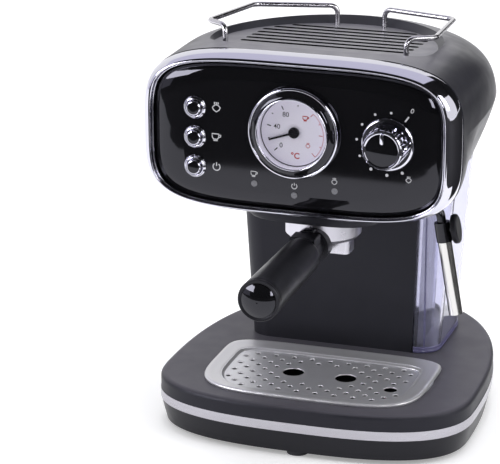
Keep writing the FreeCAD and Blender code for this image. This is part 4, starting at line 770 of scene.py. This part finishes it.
# Drip grid: rolled rim, the pressed slope down to the field, and the lips of its holes
GRID_HALF_WIDTH = 85.2
GRID_DEPTH = 106.5
GRID_BACK = GRID_FRONT + GRID_DEPTH
GRID_WIDEST = GRID_FRONT + 67.5
GRID_MIDDLE = (GRID_FRONT + GRID_BACK) / 2
GRID_FRONT_POWER = 4.0
GRID_BACK_POWER = 6.0
GRID_STEPS = 192
FIELD_HALF_WIDTH = GRID_HALF_WIDTH - 12.0
FIELD_FRONT = GRID_FRONT + 8.0
FIELD_BACK = GRID_BACK - 15.0
FIELD_TOP = GRID_TOP - 1.6
# The rim's section is (share of the way from the grid's edge to the field, rise over the grid's top)
RIM_SECTION = ((0.0, -1.5), (-0.03, -0.8), (-0.02, 0.0), (0.06, 0.7), (0.16, 0.95), (0.28, 0.85),
               (0.42, 0.5), (0.62, 0.25), (0.8, 0.2), (0.93, 0.1), (1.0, -0.25), (1.06, -0.9),
               (1.11, -1.35), (1.16, -1.55), (1.1, -2.3), (0.5, -1.0))
HOLE_RADIUS = 2.1
HOLE_PITCH_X = 14.5
HOLE_PITCH_Y = 7.2
HOLE_MARGIN = 4.0
HOLES_EACH_WAY = range(-5, 6)
SPOUT_HOLE_X = 20.6
SPOUT_HOLE_RADIUS = 8.3
SPOUT_HOLE_ROOM_X = 25.0
SPOUT_HOLE_ROOM_Y = 17.0
FLOAT_Y = GRID_MIDDLE - 12.0
FLOAT_HOLE_RADIUS = 5.2
LIP_STEPS = 18
# The lip's section is (distance out from the hole's edge, rise over the field)
LIP_SECTION = ((-0.12, -0.75), (-0.1, -0.1), (0.02, 0.08), (0.3, 0.13), (0.7, 0.06), (1.1, 0.01))


def egg(half_width, front, back):
    outline = []
    for step in range(GRID_STEPS):
        angle = FULL_TURN * step / GRID_STEPS
        across, along = math.cos(angle), math.sin(angle)
        behind = along > 0
        power = GRID_BACK_POWER if behind else GRID_FRONT_POWER
        reach = back - GRID_WIDEST if behind else GRID_WIDEST - front
        x = half_width * math.copysign(abs(across) ** (2 / power), across)
        outline.append((x, GRID_WIDEST + reach * math.copysign(abs(along) ** (2 / power), along)))
    return outline


def rim_mesh():
    edge = egg(GRID_HALF_WIDTH, GRID_FRONT, GRID_BACK)
    field = egg(FIELD_HALF_WIDTH, FIELD_FRONT, FIELD_BACK)
    rings = []
    for share, rise in RIM_SECTION:
        ring = []
        for (x, y), (inner_x, inner_y) in zip(edge, field):
            ring.append((x + (inner_x - x) * share, y + (inner_y - y) * share, GRID_TOP + rise))
        rings.append(ring)
    return lofted(rings, True)


def in_field(x, y):
    behind = y > GRID_WIDEST
    power = GRID_BACK_POWER if behind else GRID_FRONT_POWER
    reach = FIELD_BACK - GRID_WIDEST if behind else GRID_WIDEST - FIELD_FRONT
    share_x = abs(x / (FIELD_HALF_WIDTH - HOLE_MARGIN))
    share_y = abs((y - GRID_WIDEST) / (reach - HOLE_MARGIN))
    return share_x ** power + share_y ** power <= 1


def clear_of_large_holes(x, y):
    if abs(x) < SPOUT_HOLE_ROOM_X and abs(y - GRID_MIDDLE) < SPOUT_HOLE_ROOM_Y:
        return False
    if math.hypot(abs(x) - SPOUT_HOLE_X, y - GRID_MIDDLE) < SPOUT_HOLE_RADIUS + 2 * HOLE_RADIUS:
        return False
    return math.hypot(x - FLOAT_X, y - FLOAT_Y) >= FLOAT_HOLE_RADIUS + 2 * HOLE_RADIUS


def hole_spots():
    spots = []
    for row in HOLES_EACH_WAY:
        y = GRID_MIDDLE + row * HOLE_PITCH_Y
        for column in HOLES_EACH_WAY:
            x = (column + (row % 2) / 2) * HOLE_PITCH_X
            if in_field(x, y) and clear_of_large_holes(x, y):
                spots.append((x, y, HOLE_RADIUS))
    return spots + [(FLOAT_X, FLOAT_Y, FLOAT_HOLE_RADIUS), (-SPOUT_HOLE_X, GRID_MIDDLE, SPOUT_HOLE_RADIUS),
                    (SPOUT_HOLE_X, GRID_MIDDLE, SPOUT_HOLE_RADIUS)]


def hole_lips():
    points, faces = [], []
    for x, y, radius in hole_spots():
        start = len(points)
        for out, rise in LIP_SECTION:
            outline = circle(x, y, radius + out, LIP_STEPS)
            points += [(across, along, FIELD_TOP + rise) for across, along in outline]
        for face in ring_faces(len(LIP_SECTION), LIP_STEPS):
            faces.append(tuple(start + corner for corner in face))
    return mesh_from(points, faces)


piece("grid_rim", rim_mesh(), "rim", "grid")
piece("hole_lips", hole_lips(), "rim", "grid")

# Tank: tinted rim round its foot, and a thin upright rib on its front corner
TANK_FRONT = 3.9
TANK_INNER_X = 54.8
FRONT_CORNER = (56.6, 20.0)
FRONT_CORNER_RADIUS = 16.0
BACK_RIGHT_CORNER = (30.6, 67.2)
BACK_LEFT_CORNER = (-36.5, 67.2)
BACK_CORNER_RADIUS = 42.0
FRONT_CORNER_STEPS = 10
BACK_CORNER_STEPS = 16
# The foot's section is (distance out from its path, rise over the tank's bottom)
FOOT_SECTION = ((0.1, 0.05), (0.9, 0.4), (1.1, 1.3), (0.9, 2.3), (0.3, 2.9), (0.7, 3.5), (0.6, 4.3),
                (0.1, 4.9))
# The rib's section is (radius, degrees) round the front corner
RIB_SECTION = ((15.9, -68.6), (16.3, -67.6), (16.3, -64.6), (15.9, -63.6))
RIB_RISES = (4.7, 79.7, 141.7)


def foot_path():
    path = [(TANK_INNER_X, TANK_FRONT), (FRONT_CORNER[0], TANK_FRONT)]
    path += arc(*FRONT_CORNER, FRONT_CORNER_RADIUS, -90, 0, FRONT_CORNER_STEPS)
    path += arc(*BACK_RIGHT_CORNER, BACK_CORNER_RADIUS, 0, 90, BACK_CORNER_STEPS)
    return path + arc(*BACK_LEFT_CORNER, BACK_CORNER_RADIUS, 90, 180, BACK_CORNER_STEPS)


def foot_mesh():
    path = foot_path()
    count = len(path)
    points = []
    for out, rise in FOOT_SECTION:
        for index, (x, y) in enumerate(path):
            before, after = path[max(index - 1, 0)], path[min(index + 1, count - 1)]
            along = Vector((after[0] - before[0], after[1] - before[1])).normalized()
            points.append((x + along.y * out, y - along.x * out, TANK_BOTTOM + rise))
    faces = []
    for level in range(len(FOOT_SECTION) - 1):
        for step in range(count - 1):
            low = level * count + step
            faces.append((low, low + 1, low + count + 1, low + count))
    return mesh_from(points, faces)


def rib_mesh():
    outline = [polar(*FRONT_CORNER, radius, degrees) for radius, degrees in RIB_SECTION]
    return lofted([[(x, y, TANK_BOTTOM + rise) for x, y in outline] for rise in RIB_RISES])


piece("tank_foot_rim", foot_mesh(), "tank_edge", "tank")
piece("tank_rib", rib_mesh(), "tank_edge", "tank", smooth=False)

# Camera
CAMERA_PLACE = (0.5228, -1.8161, 0.7621)
CAMERA_DOWN = 18.4
CAMERA_TURN = 18.26
camera_data = bpy.data.cameras.new("camera")
camera_data.lens = 187.2
camera_data.sensor_width = 36.0
camera_data.sensor_fit = "HORIZONTAL"
camera_data.clip_start = 0.05
camera_data.clip_end = 50.0
camera = bpy.data.objects.new("camera", camera_data)
camera.location = CAMERA_PLACE
camera.rotation_euler = (math.radians(90 - CAMERA_DOWN), 0, math.radians(CAMERA_TURN))
bpy.context.scene.collection.objects.link(camera)
bpy.context.scene.camera = camera


# Stage, in metres
def stage_plane(name, corners, made):
    mesh = bpy.data.meshes.new(name)
    mesh.from_pydata(corners, [], [(0, 1, 2, 3)])
    mesh.materials.append(made)
    plane = bpy.data.objects.new(name, mesh)
    bpy.context.scene.collection.objects.link(plane)
    return plane


def level_card(x_low, x_high, y_low, y_high, z):
    return [(x_low, y_low, z), (x_high, y_low, z), (x_high, y_high, z), (x_low, y_high, z)]


def upright_card(x_low, x_high, y, z_low, z_high):
    return [(x_low, y, z_low), (x_high, y, z_low), (x_high, y, z_high), (x_low, y, z_high)]


def larger_of(nodes, links, first, second):
    larger = nodes.new("ShaderNodeMath")
    larger.operation = "MAXIMUM"
    links.new(first, larger.inputs[0])
    links.new(second, larger.inputs[1])
    return larger.outputs[0]


def white_where_seen(nodes, links):
    path = nodes.new("ShaderNodeLightPath")
    direct = larger_of(nodes, links, path.outputs["Is Camera Ray"], path.outputs["Is Glossy Ray"])
    return larger_of(nodes, links, direct, path.outputs["Is Transmission Ray"])


# Pale floor, whose glow grows with the distance from the frame's origin
FLOOR_GLOW = 0.30
FAR_FLOOR_GLOW = 0.66
FADE_START = 0.8
FADE_END = 2.6


def pale_floor():
    made, nodes, links = node_tree("pale_floor")
    shader = nodes["Principled BSDF"]
    shader.inputs["Base Color"].default_value = (0.90, 0.90, 0.91, 1)
    shader.inputs["Roughness"].default_value = 0.7
    shader.inputs["Specular IOR Level"].default_value = 0.0
    place = nodes.new("ShaderNodeTexCoord")
    distance = nodes.new("ShaderNodeVectorMath")
    distance.operation = "LENGTH"
    links.new(place.outputs["Object"], distance.inputs[0])
    reach = distance.outputs["Value"]
    fade = map_range(nodes, links, reach, FADE_START, FADE_END, FLOOR_GLOW, FAR_FLOOR_GLOW)
    glow = nodes.new("ShaderNodeMath")
    glow.operation = "MULTIPLY"
    links.new(white_where_seen(nodes, links), glow.inputs[0])
    links.new(fade, glow.inputs[1])
    shader.inputs["Emission Color"].default_value = (1, 1, 1, 1)
    links.new(glow.outputs[0], shader.inputs["Emission Strength"])
    return made


stage_plane("floor", level_card(-6, 6, -1.2, 8, 0), pale_floor())

# Cards that only reflections show: dark ones, pale ones and two bright windows
CARD_FRONT = -3.2
CARD_TOP = 3.0
TABLE_LEVEL = 0.004


def dark_look():
    made, nodes, _ = node_tree("dark_card")
    shader = nodes["Principled BSDF"]
    shader.inputs["Base Color"].default_value = (0.004, 0.004, 0.005, 1)
    shader.inputs["Roughness"].default_value = 0.9
    return made


def glowing(name, color, strength):
    made, nodes, _ = node_tree(name)
    shader = nodes["Principled BSDF"]
    shader.inputs["Base Color"].default_value = (0, 0, 0, 1)
    shader.inputs["Specular IOR Level"].default_value = 0.0
    shader.inputs["Emission Color"].default_value = (*color, 1)
    shader.inputs["Emission Strength"].default_value = strength
    return made


dark = dark_look()
lavender = glowing("lavender_card", (0.72, 0.71, 0.83), 1.0)
window = glowing("window_card", (0.96, 0.95, 1.0), 13.0)
CARDS = {
    "front_card": (upright_card(-4, 4, CARD_FRONT, -2.0, CARD_TOP), dark),
    "front_table_card": (level_card(-4, 4, CARD_FRONT, -0.80, TABLE_LEVEL), dark),
    "front_roof_card": (level_card(-4, 4, CARD_FRONT, 0.3, CARD_TOP), dark),
    "right_table_card": (level_card(0.5, 3.0, -0.8, 0.05, TABLE_LEVEL), dark),
    "right_roof_card": (level_card(0.9, 4, 0.3, 4, CARD_TOP), dark),
    "back_right_card": (upright_card(0.35, 4, 4, 0.0, CARD_TOP), dark),
    "right_back_card": (level_card(0.26, 3.0, 0.05, 3.0, TABLE_LEVEL), dark),
    "window_card": ([(-1.77, -1.04, 0.55), (-1.03, -1.86, 0.55), (-1.03, -1.86, 1.25),
                     (-1.77, -1.04, 1.25)], window),
    "right_strip": (upright_card(1.6, 2.1, -3.1, 0.5, 1.7), window),
    "ceiling_card": (level_card(-4, 0.9, 0.3, 4, CARD_TOP), lavender),
    "left_card": ([(-2.8, CARD_FRONT, -0.1), (-2.8, 0.4, -0.1), (-2.8, 0.4, CARD_TOP),
                   (-2.8, CARD_FRONT, CARD_TOP)], lavender),
}
for name, (corners, made) in CARDS.items():
    card = stage_plane(name, corners, made)
    card.visible_camera = False
    card.visible_diffuse = False
    card.visible_shadow = False
    card.visible_transmission = False

# World: soft ambient light, and plain white where it is seen
AMBIENT_STRENGTH = 0.42
world = bpy.data.worlds.new("studio")
world.use_nodes = True
bpy.context.scene.world = world
world_nodes, world_links = world.node_tree.nodes, world.node_tree.links
ambient = world_nodes["Background"]
ambient.inputs["Color"].default_value = (0.96, 0.96, 1.0, 1)
ambient.inputs["Strength"].default_value = AMBIENT_STRENGTH
seen = world_nodes.new("ShaderNodeBackground")
seen.inputs["Color"].default_value = (1, 1, 1, 1)
seen.inputs["Strength"].default_value = 1.0
blend = world_nodes.new("ShaderNodeMixShader")
world_links.new(white_where_seen(world_nodes, world_links), blend.inputs[0])
world_links.new(ambient.outputs[0], blend.inputs[1])
world_links.new(seen.outputs[0], blend.inputs[2])
world_links.new(blend.outputs[0], world_nodes["World Output"].inputs["Surface"])


# Lamps
def softbox(name, place, target, width, height, power, reflected=False):
    lamp = bpy.data.lights.new(name, "AREA")
    lamp.shape = "RECTANGLE"
    lamp.size = width
    lamp.size_y = height
    lamp.energy = power
    made = bpy.data.objects.new(name, lamp)
    made.location = place
    made.rotation_euler = (Vector(target) - Vector(place)).to_track_quat("-Z", "Y").to_euler()
    made.visible_glossy = reflected
    bpy.context.scene.collection.objects.link(made)


softbox("top_box", (0.1, 0.1, 1.9), target=(0, 0, 0.1), width=1.8, height=1.4, power=26)
softbox("left_box", (-1.7, -1.0, 1.2), target=(0, -0.05, 0.15), width=0.9, height=1.2, power=14)
softbox("right_box", (1.8, -0.3, 1.1), target=(0, 0, 0.15), width=0.8, height=1.2, power=12, reflected=True)

bpy.context.scene.view_settings.view_transform = "Standard"
